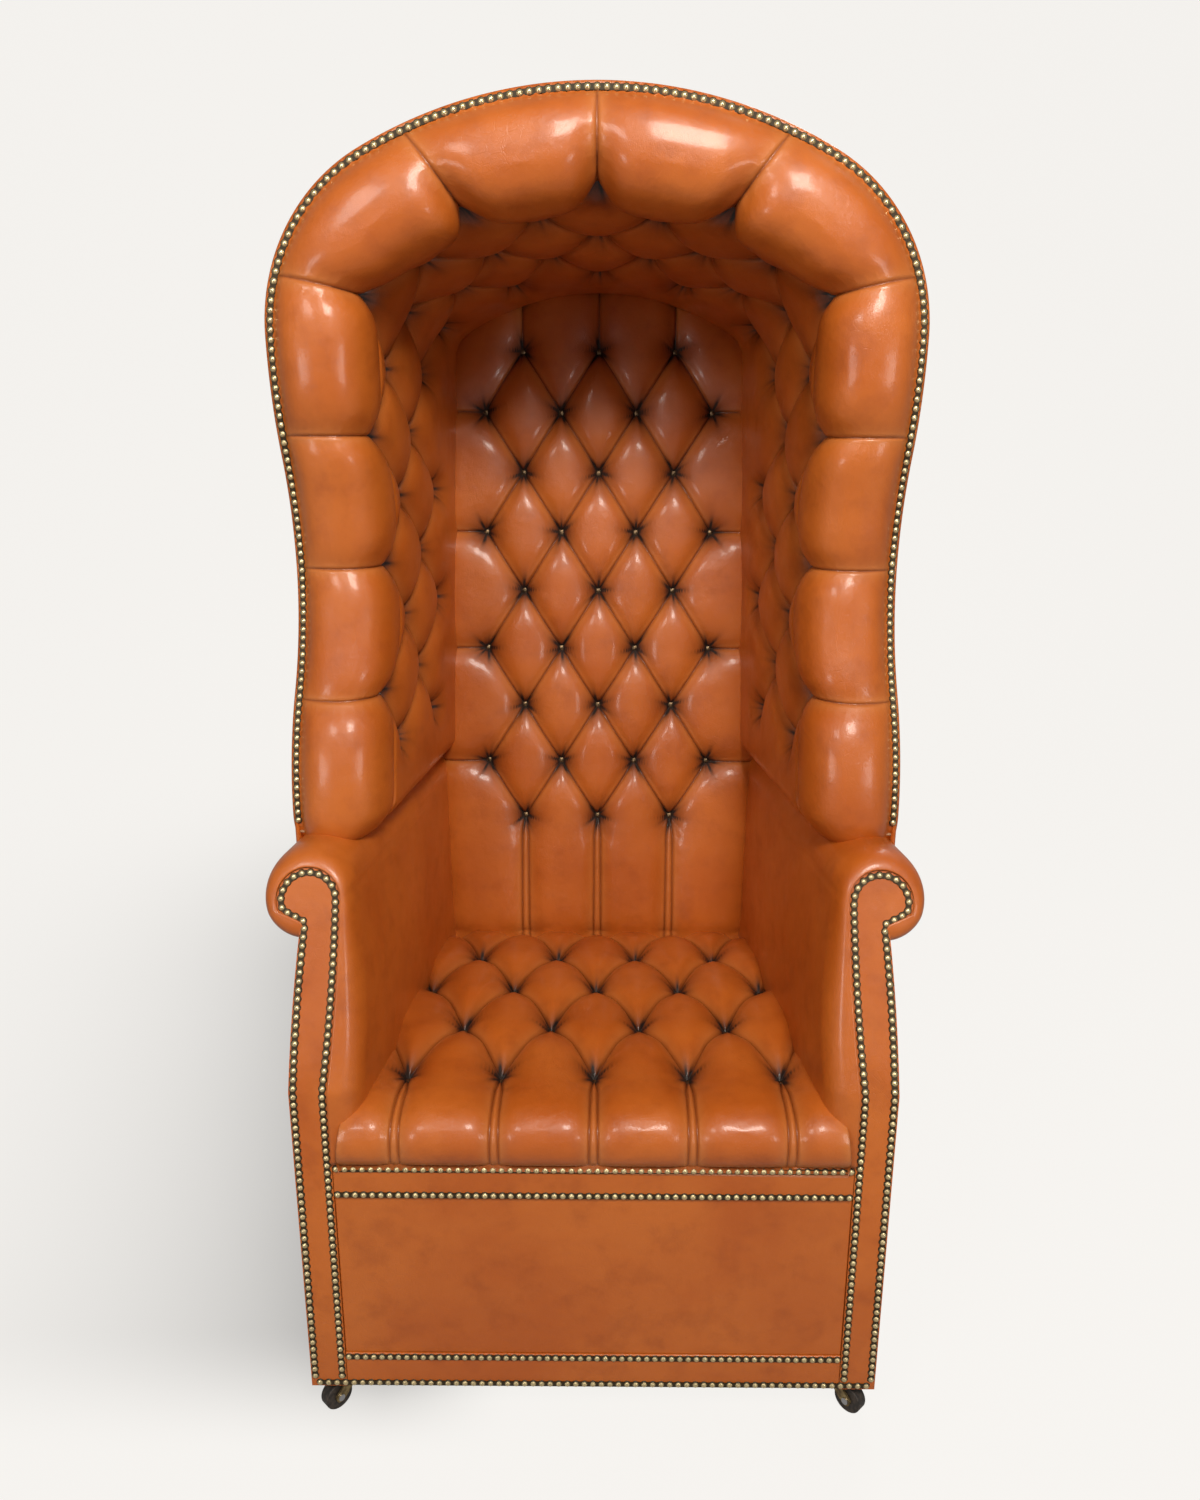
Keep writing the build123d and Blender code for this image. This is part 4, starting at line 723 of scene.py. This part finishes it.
HOOD_PITCH = (0.0785, 0.080)
ROLL_PROFILE = (
    (0.0480, 0.0012), (0.0470, 0.0002), (0.0440, 0.0), (0.0370, 0.0), (0.0345, -0.0040),
    (0.0290, -0.0090), (0.0180, -0.0135), (0.0050, -0.0160), (-0.0100, -0.0165),
    (-0.0250, -0.0140), (-0.0370, -0.0070), (-0.0445, 0.0030), (-0.0470, 0.0140),
    (-0.0455, 0.0255), (-0.0405, 0.0360), (-0.0345, 0.0440), (-0.0300, 0.0500),
    (-0.0300, 0.0700), (-0.0300, 0.5000),
)


def steps_along(profile):
    """How far along a section each of its points lies."""
    steps = [0.0]
    for (x0, y0), (x1, y1) in zip(profile, profile[1:]):
        steps.append(steps[-1] + sqrt((x1 - x0) ** 2 + (y1 - y0) ** 2))
    return steps


roll_steps = steps_along(ROLL_PROFILE)
ROLL_LENGTH = roll_steps[-3]
ROLL_MIDDLE = 0.048
LINING_FOOT = 0.716
LINING_END = ROLL_LENGTH + 0.385
LINING_TRAVEL = REACH + SPRING[1] - LINING_FOOT
LINING_HIDE = 0.003
LINING_PLUMP = 0.016
LINING_DEEP = 0.018
LINING_REACH = 0.035
LINING_TUCK = 0.0011
LINING_TUCK_REACH = 0.024
ROLL_SLIMMER = 0.007
ROLL_WIDER = 0.02
ARCH_FULLER = (0.008, 0.004)
ARCH_CREST = (0.045, 0.035)
ARCH_FADE = (0.04, 0.16)
NOTCH = (0.006, 0.009)
NOTCH_WIDTH = 0.017
NOTCH_CURVE = 1.4
FOOT_ROUND = 0.050
FOOT_CURVE = 2.2
FOOT_BACK = 0.022
FOOT_INSET = 0.045
SECTION_SPAN = 0.012
BACK_TILT = radians(7.5)
BACK_REFERENCE = 0.458
BACK_DEPTH = 0.506
BACK_HIDDEN = 0.012
LOWEST_BUTTON = 0.767


def on_section(profile, steps, along):
    """A point of a section, so far along it, and the way its leather faces."""
    first, second = zip(*profile)
    ahead, behind = min(along + SECTION_SPAN, steps[-1]), max(along - SECTION_SPAN, 0.0)
    dx = np.interp(ahead, steps, first) - np.interp(behind, steps, first)
    dy = np.interp(ahead, steps, second) - np.interp(behind, steps, second)
    size = sqrt(dx * dx + dy * dy)
    x, y = np.interp(along, steps, first), np.interp(along, steps, second)
    return x, y, -dy / size, dx / size


def back_face(height):
    """Depth of the back pad's face at a height."""
    return BACK_DEPTH + (height - BACK_REFERENCE) * tan(BACK_TILT)


hood_buttons = {}
for row in range(5):
    for step in range(-15, 16):
        travel, behind = step * HOOD_PITCH[0], ROLL_DEPTH + row * HOOD_PITCH[1]
        point, outward = hood_point(travel, behind, PADDING)
        if (step + row) % 2 == 0 and point.z > LOWEST_BUTTON:
            if point.y - FRONT_Y < back_face(point.z) - 0.025:
                hood_buttons[row, step] = (travel, ROLL_LENGTH + row * HOOD_PITCH[1])
stray_folds = []
for (row, step), start in hood_buttons.items():
    if row == 0:
        stray_folds.append((start, (start[0], 0.010)))
net = lattice_net(18, 26, HOOD_PITCH, (0.0, ROLL_LENGTH + 2 * HOOD_PITCH[1]))
trim(net, (0, 0), (0, -1))
trim(net, (0, LINING_END), (0, 1))
trim(net, (LINING_TRAVEL, 0), (1, 0))
trim(net, (-LINING_TRAVEL, 0), (-1, 0))
score(net, stray_folds)
flat, near, above, soft, pit, angle, which = measured(
    net, list(hood_buttons.values()), folds_between(hood_buttons) + stray_folds
)
along = flat[:, 1]
on_roll = np.clip((ROLL_LENGTH - along) / ROLL_LENGTH, 0, 1)
swell = np.clip(along / 0.03 - 0.42, 0, 1)
swell = swell * swell * (3 - 2 * swell)
tuck = tucks(pit, angle, which, LINING_TUCK_REACH)
on_arch = np.clip((REACH + ARCH_FADE[0] - np.abs(flat[:, 0])) / ARCH_FADE[1], 0, 1)
crest = np.exp(-(((along - ROLL_LENGTH + ARCH_CREST[0]) / ARCH_CREST[1]) ** 2))
plump = LINING_PLUMP - ROLL_SLIMMER * np.clip(on_roll * 1.6 - 0.2, 0, 1)
plump = plump + (ARCH_FULLER[0] * on_arch - ARCH_FULLER[1]) * crest
deep = LINING_DEEP * (1 - on_roll) ** 2
rise = quilted(near, above, soft, pit, deep, plump, LINING_REACH + ROLL_WIDER * on_roll)
rise = (rise + LINING_TUCK * tuck) * swell
aside = np.abs((flat[:, 0] / (2 * HOOD_PITCH[0]) + 0.5) % 1 - 0.5) * 2 * HOOD_PITCH[0]
flank = np.clip((along - 0.058) / 0.035, 0, 1)
flank = flank * np.clip((ROLL_LENGTH + 0.02 - along) / 0.03, 0, 1)
notch = (NOTCH[0] + NOTCH[1] * on_arch) * np.exp(-((aside / NOTCH_WIDTH) ** NOTCH_CURVE))
rise -= notch * flank
points = []
for (travel, way), lift in zip(flat, rise):
    out, back, face_out, face_back = on_section(ROLL_PROFILE, roll_steps, way)
    foot = max(0.0, (abs(travel) - LINING_TRAVEL + FOOT_ROUND) / FOOT_ROUND) ** FOOT_CURVE
    inset = ROLL_MIDDLE - out - face_out * lift
    inset -= foot * max(0.0, inset - FOOT_INSET) * 0.9
    drawn_back = foot * FOOT_BACK * max(0.0, 1 - way / ROLL_LENGTH)
    back += face_back * lift * (1 - foot) + drawn_back
    place, outward = hood_point(travel, max(back, 0.0), inset)
    place.y += min(back, 0.0)
    depth = back_face(place.z) + BACK_HIDDEN
    if place.y - FRONT_Y > depth:
        place.y = FRONT_Y + depth
    points.append(place)
lining = settle(net, points, near, pit, tuck, "hood_lining", None, Vector((0, -1, 0)))
backed(lining, LINING_HIDE)
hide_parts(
    "hood_roll_arch", "hood_roll_left", "hood_roll_right", "wing_lining_left",
    "wing_lining_right", "roof_lining",
)

# Back pad: a deep-buttoned hide over stuffing on the leaning back. Pleats run up from the
# top row, out from the side buttons, and down in pairs from the bottom row to the seat.
BACK_PITCH = (0.057, 0.0878 / cos(BACK_TILT))
TOP_ROW = (1.338 - BACK_REFERENCE) / cos(BACK_TILT)
BACK_PLEAT = 0.005
SIDE_PLEAT = 0.10
BACK_SUNK = 0.024
BACK_DEEP = 0.0165
BACK_PLUMP = 0.0125
BACK_REACH = 0.031
BACK_TUCK = 0.0011
BACK_TUCK_REACH = 0.021
BACK_DROP = (0.020, 0.014)
BACK_FOOT_DROP = (0.010, 0.014)
BACK_FOOT = 0.010
BACK_CLOSED = 0.03
back_up = Vector((0, sin(BACK_TILT), cos(BACK_TILT)))
back_toward = Vector((0, -cos(BACK_TILT), sin(BACK_TILT)))
back_origin = Vector((0, FRONT_Y + BACK_DEPTH, BACK_REFERENCE)) - back_toward * BACK_SUNK
back_buttons = {}
for row in range(9):
    for column in ((-2, 0, 2) if row % 2 == 0 else (-3, -1, 1, 3)):
        back_buttons[row, column] = (column * BACK_PITCH[0], TOP_ROW - row * BACK_PITCH[1])
stray_folds = []
for (row, column), start in back_buttons.items():
    if abs(column) == 3:
        outer = start[0] + (SIDE_PLEAT if column > 0 else -SIDE_PLEAT)
        stray_folds.append((start, (outer, start[1])))
    if row == 0:
        stray_folds.append((start, (start[0], start[1] + 0.12)))
    if row == 8:
        for way in (-BACK_PLEAT, BACK_PLEAT):
            knee = (start[0] + way, start[1] - 0.030)
            stray_folds.append((start, knee))
            stray_folds.append((knee, (start[0] + way * 1.2, start[1] - 0.25)))
BACK_TRIMS = (
    ((0.262, 0), (1, 0)), ((-0.262, 0), (-1, 0)), ((0, -0.062), (0, -1)), ((0, 1.012), (0, 1)),
    ((0.250, 0.955), (1.0, 0.55)), ((0.212, 0.997), (0.45, 1.0)),
    ((-0.250, 0.955), (-1.0, 0.55)), ((-0.212, 0.997), (-0.45, 1.0)),
)
BACK_EDGE = (
    (0.238, -0.010), (0.246, 0.10), (0.252, 0.30), (0.252, 0.46), (0.246, 0.67), (0.243, 0.85),
    (0.206, 0.915), (0.162, 0.950), (0.120, 0.967), (0.066, 0.982), (0.0, 0.990),
)
net = lattice_net(14, 28, BACK_PITCH, (0.0, TOP_ROW - 4 * BACK_PITCH[1]))
for point, outward in BACK_TRIMS:
    trim(net, point, outward)
score(net, stray_folds)
flat, near, above, soft, pit, angle, which = measured(
    net, list(back_buttons.values()), folds_between(back_buttons) + stray_folds
)
border = np.full(len(flat), 1.0)
for start, end in zip(BACK_EDGE, BACK_EDGE[1:]):
    run = np.subtract(end, start)
    mirrored = np.abs(flat * (1, 0)) + flat * (0, 1)
    share = np.clip((mirrored - start) @ run / (run @ run), 0, 1)
    way = mirrored - start - share[:, None] * run
    side = np.sign(way[:, 0] * run[1] - way[:, 1] * run[0])
    gap = np.hypot(*way.T) * -side
    closer = np.abs(gap) < np.abs(border)
    border[closer] = gap[closer]
tuck = tucks(pit, angle, which, BACK_TUCK_REACH)
edge_drop = BACK_DROP[0] * np.exp(-np.maximum(border, 0.0) / BACK_DROP[1])
foot_gap = np.maximum(0.0, flat[:, 1] + BACK_FOOT)
edge_drop = edge_drop + BACK_FOOT_DROP[0] * np.exp(-foot_gap / BACK_FOOT_DROP[1])
rise = quilted(near, above, soft, pit, BACK_DEEP, BACK_PLUMP, BACK_REACH)
rise = rise + BACK_TUCK * tuck - edge_drop
points = [
    back_origin + Vector((x, 0, 0)) + back_up * y + back_toward * lift
    for (x, y), lift in zip(flat, rise)
]
# The back's edge joins the fold mark, so painted shade and a dark painted line run where it meets
# the hood lining.
near = np.minimum(near, np.maximum(border, 0.0) + MARK_EDGE)
back = settle(
    net, points, near, pit, tuck, "back_leather", -back_toward * BACK_CLOSED, back_toward
)
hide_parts("back_pad")

# Seat pad: a deep-buttoned hide over springs and stuffing, its front edge rolled down to a
# row of nails, with pairs of pleats from the first row of buttons to the nails.
SEAT_PITCH = (0.059, 0.108)
SEAT_PROFILE = (
    (0.0010, 0.3825), (-0.0020, 0.3850), (-0.0055, 0.3905), (-0.0085, 0.3990),
    (-0.0095, 0.4095), (-0.0080, 0.4200), (-0.0020, 0.4320), (0.0080, 0.4400),
    (0.0220, 0.4450), (0.0450, 0.4485), (0.0800, 0.4511), (0.1400, 0.4558), (0.2000, 0.4588),
    (0.2500, 0.4595), (0.3200, 0.4586), (0.4000, 0.4551), (0.4700, 0.4510), (0.5400, 0.4460),
)
seat_steps = steps_along(SEAT_PROFILE)
SEAT_ROW = 0.102
SEAT_BOW = 0.011
SEAT_SIDE = 0.0605
SEAT_ARMS = 0.0807
SEAT_PLEAT = 0.0045
SEAT_KNEE = 0.035
SEAT_EDGE = 0.08
SEAT_BACK = 0.028
SEAT_DEEP = 0.0145
SEAT_PLUMP = (0.0185, 0.0125)
SEAT_REACH = (0.034, 0.012)
SEAT_SUNK = (0.0225, 0.002)
SEAT_TUCK = 0.0012
SEAT_TUCK_REACH = 0.024
SEAT_HEM = 0.030
SIDE_DROP = (0.010, 0.012)
END_DROP = (0.012, 0.014)
SEAT_FIRST = float(np.interp(SEAT_ROW, [p[0] for p in SEAT_PROFILE[6:]], seat_steps[6:]))

seat_buttons = {}
for row in range(4):
    for column in ((-4, -2, 0, 2, 4) if row % 2 == 0 else (-3, -1, 1, 3)):
        across = column * SEAT_PITCH[0]
        if abs(across) < half_width(SEAT_ROW + row * SEAT_PITCH[1]) - SEAT_ARMS:
            seat_buttons[row, column] = (across, SEAT_FIRST + row * SEAT_PITCH[1])
seat_folds = []
stray_folds = []
for (row, column), start in seat_buttons.items():
    for side in (1, -1):
        other = seat_buttons.get((row + 1, column + side))
        if other or row == 3 or abs(column + side) > 3:
            end = (start[0] + side * SEAT_PITCH[0], start[1] + SEAT_PITCH[1])
            seat_folds.append((start, end))
    if row == 0:
        for way in (-SEAT_PLEAT, SEAT_PLEAT):
            knee = (start[0] + way, start[1] - SEAT_KNEE)
            stray_folds.append((start, knee))
            stray_folds.append((knee, (start[0] + way * 1.2, 0.0)))
net = lattice_net(12, 28, SEAT_PITCH, (0.0, SEAT_FIRST + 2 * SEAT_PITCH[1]))
trim(net, (0, 0), (0, -1))
trim(net, (0, seat_steps[-1]), (0, 1))
for way in (1, -1):
    trim(net, (way * (half_width(0) - SEAT_SIDE), SEAT_EDGE), (way * 1.0, TAPER))
score(net, stray_folds)
flat, near, above, soft, pit, angle, which = measured(
    net, list(seat_buttons.values()), seat_folds + stray_folds
)
nose = np.clip(1 - flat[:, 1] / (SEAT_FIRST * 0.8), 0, 1)
hem = np.clip(flat[:, 1] / SEAT_HEM, 0, 1)
hem = hem * (2 - hem)
edge = half_width(0) - SEAT_SIDE - TAPER * (flat[:, 1] - SEAT_EDGE)
side_gap = np.maximum(0.0, edge - np.abs(flat[:, 0]))
end_gap = np.maximum(0.0, seat_steps[-1] - SEAT_BACK - flat[:, 1])
edge_drop = SIDE_DROP[0] * np.exp(-side_gap / SIDE_DROP[1]) * (1 - nose)
edge_drop = edge_drop + END_DROP[0] * np.exp(-end_gap / END_DROP[1])
tuck = tucks(pit, angle, which, SEAT_TUCK_REACH)
deep = SEAT_DEEP * (1 - nose) ** 2
plump = SEAT_PLUMP[0] - SEAT_PLUMP[1] * nose
rise = quilted(near, above, soft, pit, deep, plump, SEAT_REACH[0] - SEAT_REACH[1] * nose)
sunk = SEAT_SUNK[0] * (1 - nose) ** 2
rise = (rise + SEAT_TUCK * tuck - sunk - SEAT_SUNK[1] * nose) * hem - edge_drop
# The seat's sides and back end join the fold mark, so painted shade and a dark painted line run
# where it meets the arms and the back.
near = np.minimum(near, np.minimum(side_gap, end_gap) + MARK_EDGE)
points = []
bow = SEAT_BOW * np.sin(pi * flat[:, 0] / SEAT_PITCH[0]) ** 2 * np.clip(
    (flat[:, 1] - SEAT_FIRST) / 0.05, 0, 1
)
for (x, way), shift, lift in zip(flat, bow, rise):
    y, z, face_y, face_z = on_section(SEAT_PROFILE, seat_steps, way + shift)
    points.append(Vector((x, FRONT_Y + y + face_y * lift, z + face_z * lift)))
seat = settle(
    net, points, near, pit, tuck, "seat_leather", Vector((0, 0.012, -0.03)), Vector((0, 0, 1))
)
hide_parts("seat_pad")

# Buttons: small domed bronze studs, darkened with age, at the foot of every tuft.
# They are the CAD's own, and the three pads' leather is formed to meet them.
bronze, shader, place = new_finish("bronze")
age = noise_on(place, 260.0, 3.0)
fill(
    shader,
    Base_Color=age.between(0.35, 0.7).mix((0.055, 0.035, 0.018, 1), (0.20, 0.13, 0.07, 1)),
    Metallic=0.85,
    Roughness=age * 0.25 + 0.28,
)
paint(["back_buttons", "seat_buttons", "hood_buttons"], bronze)

# Nails: domed heads of antiqued brass in rows; between close ones a stamped strip shows.
# Wax and dust stay in the strip; each head is coloured darker towards its rim and brighter at its
# top.
NAIL_RADIUS = 0.0050
NAIL_HEIGHT = 0.0038
NAIL_WELD = 0.00001
STRIP_WIDTH = 0.0066
STRIP_HEIGHT = 0.0016
STRIP_GAP = 0.0118
STRIP_RISE = 0.45
PAIR_STEP = 0.0046
HEAD_RINGS = (0.93, 0.68, 0.34)
antique_brass, shader, place = new_finish("antique_brass")
age = noise_on(place, 420.0, 3.0, 0.6)
darkening = Wire.make(place.tree, "ShaderNodeAttribute", {"attribute_name": "darkening"}, {}, "Fac")
dull = (darkening + age * 0.5 - 0.25).between(0.0, 0.62)
fill(
    shader,
    Base_Color=dull.mix((0.68, 0.55, 0.30, 1), (0.030, 0.018, 0.005, 1)),
    Metallic=1.0 - dull * 0.6,
    Roughness=dull * 0.30 + 0.31,
)


def nail_seats(node):
    """Where each nail of a CAD node sits: the middle of its rim, and the way it faces."""
    bm = bmesh.new()
    bm.from_mesh(nodes[node].data)
    bmesh.ops.remove_doubles(bm, verts=bm.verts, dist=NAIL_WELD)
    waiting = set(bm.verts)
    seats = []
    for first in bm.verts:
        if first not in waiting:
            continue
        waiting.discard(first)
        island = [first]
        for vert in island:
            for edge in vert.link_edges:
                other = edge.other_vert(vert)
                if other in waiting:
                    waiting.discard(other)
                    island.append(other)
        places = np.array([vert.co[:] for vert in island])
        middle = places.mean(axis=0)
        facing = np.linalg.eigh(np.cov((places - middle).T))[1][:, 0]
        lift = (places - middle) @ facing
        spread = np.linalg.norm(places - middle - lift[:, None] * facing, axis=1)
        if spread.max() > NAIL_RADIUS * 1.5:
            way = np.linalg.eigh(np.cov((places - middle).T))[1][:, 2]
            facing = facing if facing[1] < 0 else -facing
            base = middle - facing * NAIL_HEIGHT * 0.4
            for step in (-PAIR_STEP, PAIR_STEP):
                seats.append((Vector(base + way * step), Vector(facing)))
            continue
        rim = spread > spread.max() * 0.97
        if lift[rim].mean() > 0:
            facing, lift = -facing, -lift
        seats.append((Vector(places[rim].mean(axis=0)), Vector(facing)))
    bm.free()
    return seats


def nail_master():
    """One head: a shallow dome of a few faces with a fine rim."""
    bm = bmesh.new()
    bmesh.ops.create_circle(bm, segments=10, radius=NAIL_RADIUS)
    edges = bm.edges[:]
    layer = bm.verts.layers.float.new("darkening")
    for vert in bm.verts:
        vert[layer] = 1.0
    for share in HEAD_RINGS:
        result = bmesh.ops.extrude_edge_only(bm, edges=edges)["geom"]
        edges = [item for item in result if isinstance(item, bmesh.types.BMEdge)]
        for vert in (item for item in result if isinstance(item, bmesh.types.BMVert)):
            vert.co *= share * NAIL_RADIUS / vert.co.xy.length
            vert.co.z = NAIL_HEIGHT * (1 - share**2.1)
            # Each ring is coloured darker the nearer it lies to the rim.
            vert[layer] = share**3
    result = bmesh.ops.contextual_create(bm, geom=edges)
    bmesh.ops.poke(bm, faces=result["faces"])
    top = max(bm.verts, key=lambda vert: -vert.co.xy.length)
    top.co.z = NAIL_HEIGHT
    bmesh.ops.recalc_face_normals(bm, faces=bm.faces)
    mesh = bpy.data.meshes.new("nail")
    bm.to_mesh(mesh)
    bm.free()
    return mesh


def strip_master():
    """One stretch of the stamped strip, a unit cube until it's placed."""
    bm = bmesh.new()
    bmesh.ops.create_cube(bm, size=1.0)
    layer = bm.verts.layers.float.new("darkening")
    for vert in bm.verts:
        vert[layer] = 1.0
    mesh = bpy.data.meshes.new("strip")
    bm.to_mesh(mesh)
    bm.free()
    return mesh


def stamp(bm, master, matrix):
    """Adds a copy of a small mesh, moved by a matrix."""
    master.transform(matrix)
    bm.from_mesh(master)
    master.transform(matrix.inverted())


one_nail, one_strip = nail_master(), strip_master()
for node in (
    "hood_edge_nails", "facing_nails", "apron_nails", "base_edge_nails", "back_edge_nails",
):
    seats = nail_seats(node)
    bm = bmesh.new()
    for place, facing in seats:
        turn = facing.to_track_quat("Z", "Y").to_matrix().to_4x4()
        stamp(bm, one_nail, Matrix.Translation(place) @ turn)
    spots = np.array([place[:] for place, facing in seats])
    for index, (place, facing) in enumerate(seats):
        gaps = np.linalg.norm(spots[index + 1:] - spots[index], axis=1)
        for other in np.flatnonzero(gaps < STRIP_GAP) + index + 1:
            end, end_facing = seats[other]
            run = (end - place).normalized()
            up = (facing + end_facing).normalized()
            axes = Matrix((run, up.cross(run), up)).transposed().to_4x4()
            size = Matrix.Diagonal(((end - place).length, STRIP_WIDTH, STRIP_HEIGHT, 1))
            middle = (place + end) / 2 + up * STRIP_HEIGHT * STRIP_RISE
            stamp(bm, one_strip, Matrix.Translation(middle) @ axes @ size)
    piece = finished(bm, node + "_heads", antique_brass)
    piece.data.set_sharp_from_angle(angle=radians(50))
    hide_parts(node)

# Castors: a screwed plate, a cast brass horn that swivels under it, and a worn iron
# wheel on a steel axle. Only the front pair shows from the camera.
cast_brass, shader, place = new_finish("cast_brass")
age = noise_on(place, 120.0, 4.0, 0.6)
fill(
    shader,
    Base_Color=age.between(0.35, 0.65).mix((0.42, 0.31, 0.14, 1), (0.13, 0.09, 0.045, 1)),
    Metallic=0.9,
    Roughness=age * 0.3 + 0.3,
    Normal=bumped(age, 0.0004),
)
wheel_iron, shader, place = new_finish("wheel_iron")
age = noise_on(place, 150.0, 4.0, 0.6)
fill(
    shader,
    Base_Color=age.between(0.35, 0.7).mix((0.018, 0.015, 0.013, 1), (0.06, 0.045, 0.035, 1)),
    Metallic=0.3,
    Roughness=age * 0.3 + 0.4,
    Normal=bumped(age, 0.0003),
)
corners = ("front_left", "front_right", "back_left", "back_right")
paint(["castor_plates"] + ["castor_horn_" + c for c in corners], cast_brass)
paint(["castor_axle_" + c for c in corners], steel)
paint(["castor_wheel_" + c for c in corners], wheel_iron)

# Studio: a pale sweep under and behind the chair, with a soft shadow painted on its left.
# The sweep and the world look pale to the camera, and light the chair only a little.
PALE = (0.905, 0.885, 0.855, 1)
SHADE = (0.12, 0.118, 0.115, 1)
DIM = (0.022, 0.0215, 0.021, 1)
GLOW = 1.17
SEEN_SHARE = 0.84
MIRRORED_SHARE = 0.3
SHADOW_EDGE = 0.34
SHADOW_SLANT = 0.2
SHADOW_REACH = 0.30
SHADOW_SHARE = 0.72
SWEEP_WIDTH = 16.0
SWEEP_START = -4.0
SWEEP_FLOOR = 5.6
SWEEP_BEND = 1.4
SWEEP_LENGTH = 9.0
SWEEP_RISE = 6.0
bm = bmesh.new()
bmesh.ops.create_grid(bm, x_segments=2, y_segments=60, size=0.5)
for vert in bm.verts:
    way = (vert.co.y + 0.5) * SWEEP_LENGTH
    turn = min(max(way - SWEEP_FLOOR, 0.0), pi / 2 * SWEEP_BEND) / SWEEP_BEND
    y = SWEEP_START + min(way, SWEEP_FLOOR) + SWEEP_BEND * sin(turn)
    wall = max(0.0, way - SWEEP_FLOOR - pi / 2 * SWEEP_BEND)
    vert.co = (vert.co.x * SWEEP_WIDTH, y, SWEEP_BEND * (1 - cos(turn)) + wall * SWEEP_RISE)
bmesh.ops.recalc_face_normals(bm, faces=bm.faces)
mesh = bpy.data.meshes.new("sweep")
bm.to_mesh(mesh)
bm.free()
mesh.shade_smooth()
sweep = bpy.data.objects.new("sweep", mesh)
bpy.context.scene.collection.objects.link(sweep)
backdrop, shader, place = new_finish("backdrop")
fill(shader, Base_Color=(0.24, 0.235, 0.23, 1), Roughness=0.9, Specular_IOR_Level=0.1)


def showing(tree, seen_share):
    """How much of the pale background a ray shows: a given share for the camera, some in a mirror.
    """
    seen = Wire.make(tree, "ShaderNodeLightPath", {}, {}, "Is Camera Ray")
    ray = seen.socket.node.outputs
    mirrored = Wire(ray["Is Glossy Ray"]) + Wire(ray["Is Transmission Ray"])
    return seen * seen_share + mirrored * MIRRORED_SHARE


tree = backdrop.node_tree
spot = Wire.make(tree, "ShaderNodeSeparateXYZ", {}, {"Vector": place})
across, deep = spot, Wire(spot.socket.node.outputs[1])
# A soft shadow painted into the sweep's glow, left of the chair.
away = (-across - SHADOW_EDGE - deep * SHADOW_SLANT).math("MAXIMUM", 0.0)
pool = away.fade(SHADOW_REACH) * deep.between(-0.42, -0.20) * (1.0 - deep.between(0.8, 2.2))
pool = pool * (1.0 - across.between(-0.30, -0.10)) * SHADOW_SHARE
glow = Wire.make(
    tree, "ShaderNodeEmission", {},
    {"Color": pool.mix(PALE, SHADE), "Strength": GLOW},
)
shared = Wire.make(
    tree, "ShaderNodeMixShader", {},
    {0: showing(tree, SEEN_SHARE), 1: Wire(shader.outputs[0]), 2: glow},
)
tree.links.new(shared.socket, tree.nodes["Material Output"].inputs["Surface"])
sweep.data.materials.append(backdrop)

world = bpy.data.worlds.new("studio")
world.use_nodes = True
tree = world.node_tree
sky = showing(tree, 1.0).mix(DIM, PALE)
tree.links.new(sky.socket, tree.nodes["Background"].inputs["Color"])
tree.nodes["Background"].inputs["Strength"].default_value = 1.0
bpy.context.scene.world = world


def lamp(name, power, size, place, target, colour):
    """A soft square lamp turned towards a point."""
    data = bpy.data.lights.new(name, "AREA")
    data.energy = power
    data.size = size
    data.color = colour
    light = bpy.data.objects.new(name, data)
    light.location = place
    light.rotation_euler = (Vector(target) - Vector(place)).to_track_quat("-Z", "Y").to_euler()
    bpy.context.scene.collection.objects.link(light)


lamp("key", 80.0, 0.75, (0.50, -2.25, 2.85), (0.0, 0.0, 0.85), (1.0, 0.95, 0.87))
lamp("left", 22.0, 0.60, (-1.15, -2.3, 2.45), (0.0, 0.0, 0.85), (1.0, 0.96, 0.90))
lamp("low_left", 11.0, 0.5, (-1.7, -2.2, 0.95), (0.1, -0.2, 0.6), (1.0, 0.96, 0.92))
lamp("rear", 46.0, 1.2, (0.9, 1.7, 3.0), (0.0, 0.2, 0.8), (1.0, 0.97, 0.93))
lamp("low_right", 11.0, 0.5, (1.7, -2.2, 0.95), (-0.1, -0.2, 0.6), (1.0, 0.96, 0.92))

# Camera: a little over a metre in front of the chair and 1.24 m up, looking down at it.
# Its place, tilt and lens were fitted to points of the photo.
SENSOR = 36.0
FOCAL_SHARE = 1150.0 / 1500.0
EYE = (0.0121, 1.1799, 1.2437)
TILT = (0.2830, -0.0032, 0.0058)
camera_data = bpy.data.cameras.new("camera")
camera_data.sensor_fit = "VERTICAL"
camera_data.sensor_height = SENSOR
camera_data.lens = FOCAL_SHARE * SENSOR
camera = bpy.data.objects.new("camera", camera_data)
camera.location = (EYE[0], FRONT_Y - EYE[1], EYE[2])
camera.rotation_euler = (pi / 2 - TILT[0], TILT[1], TILT[2])
bpy.context.scene.collection.objects.link(camera)
bpy.context.scene.camera = camera
bpy.context.scene.view_settings.view_transform = "Standard"
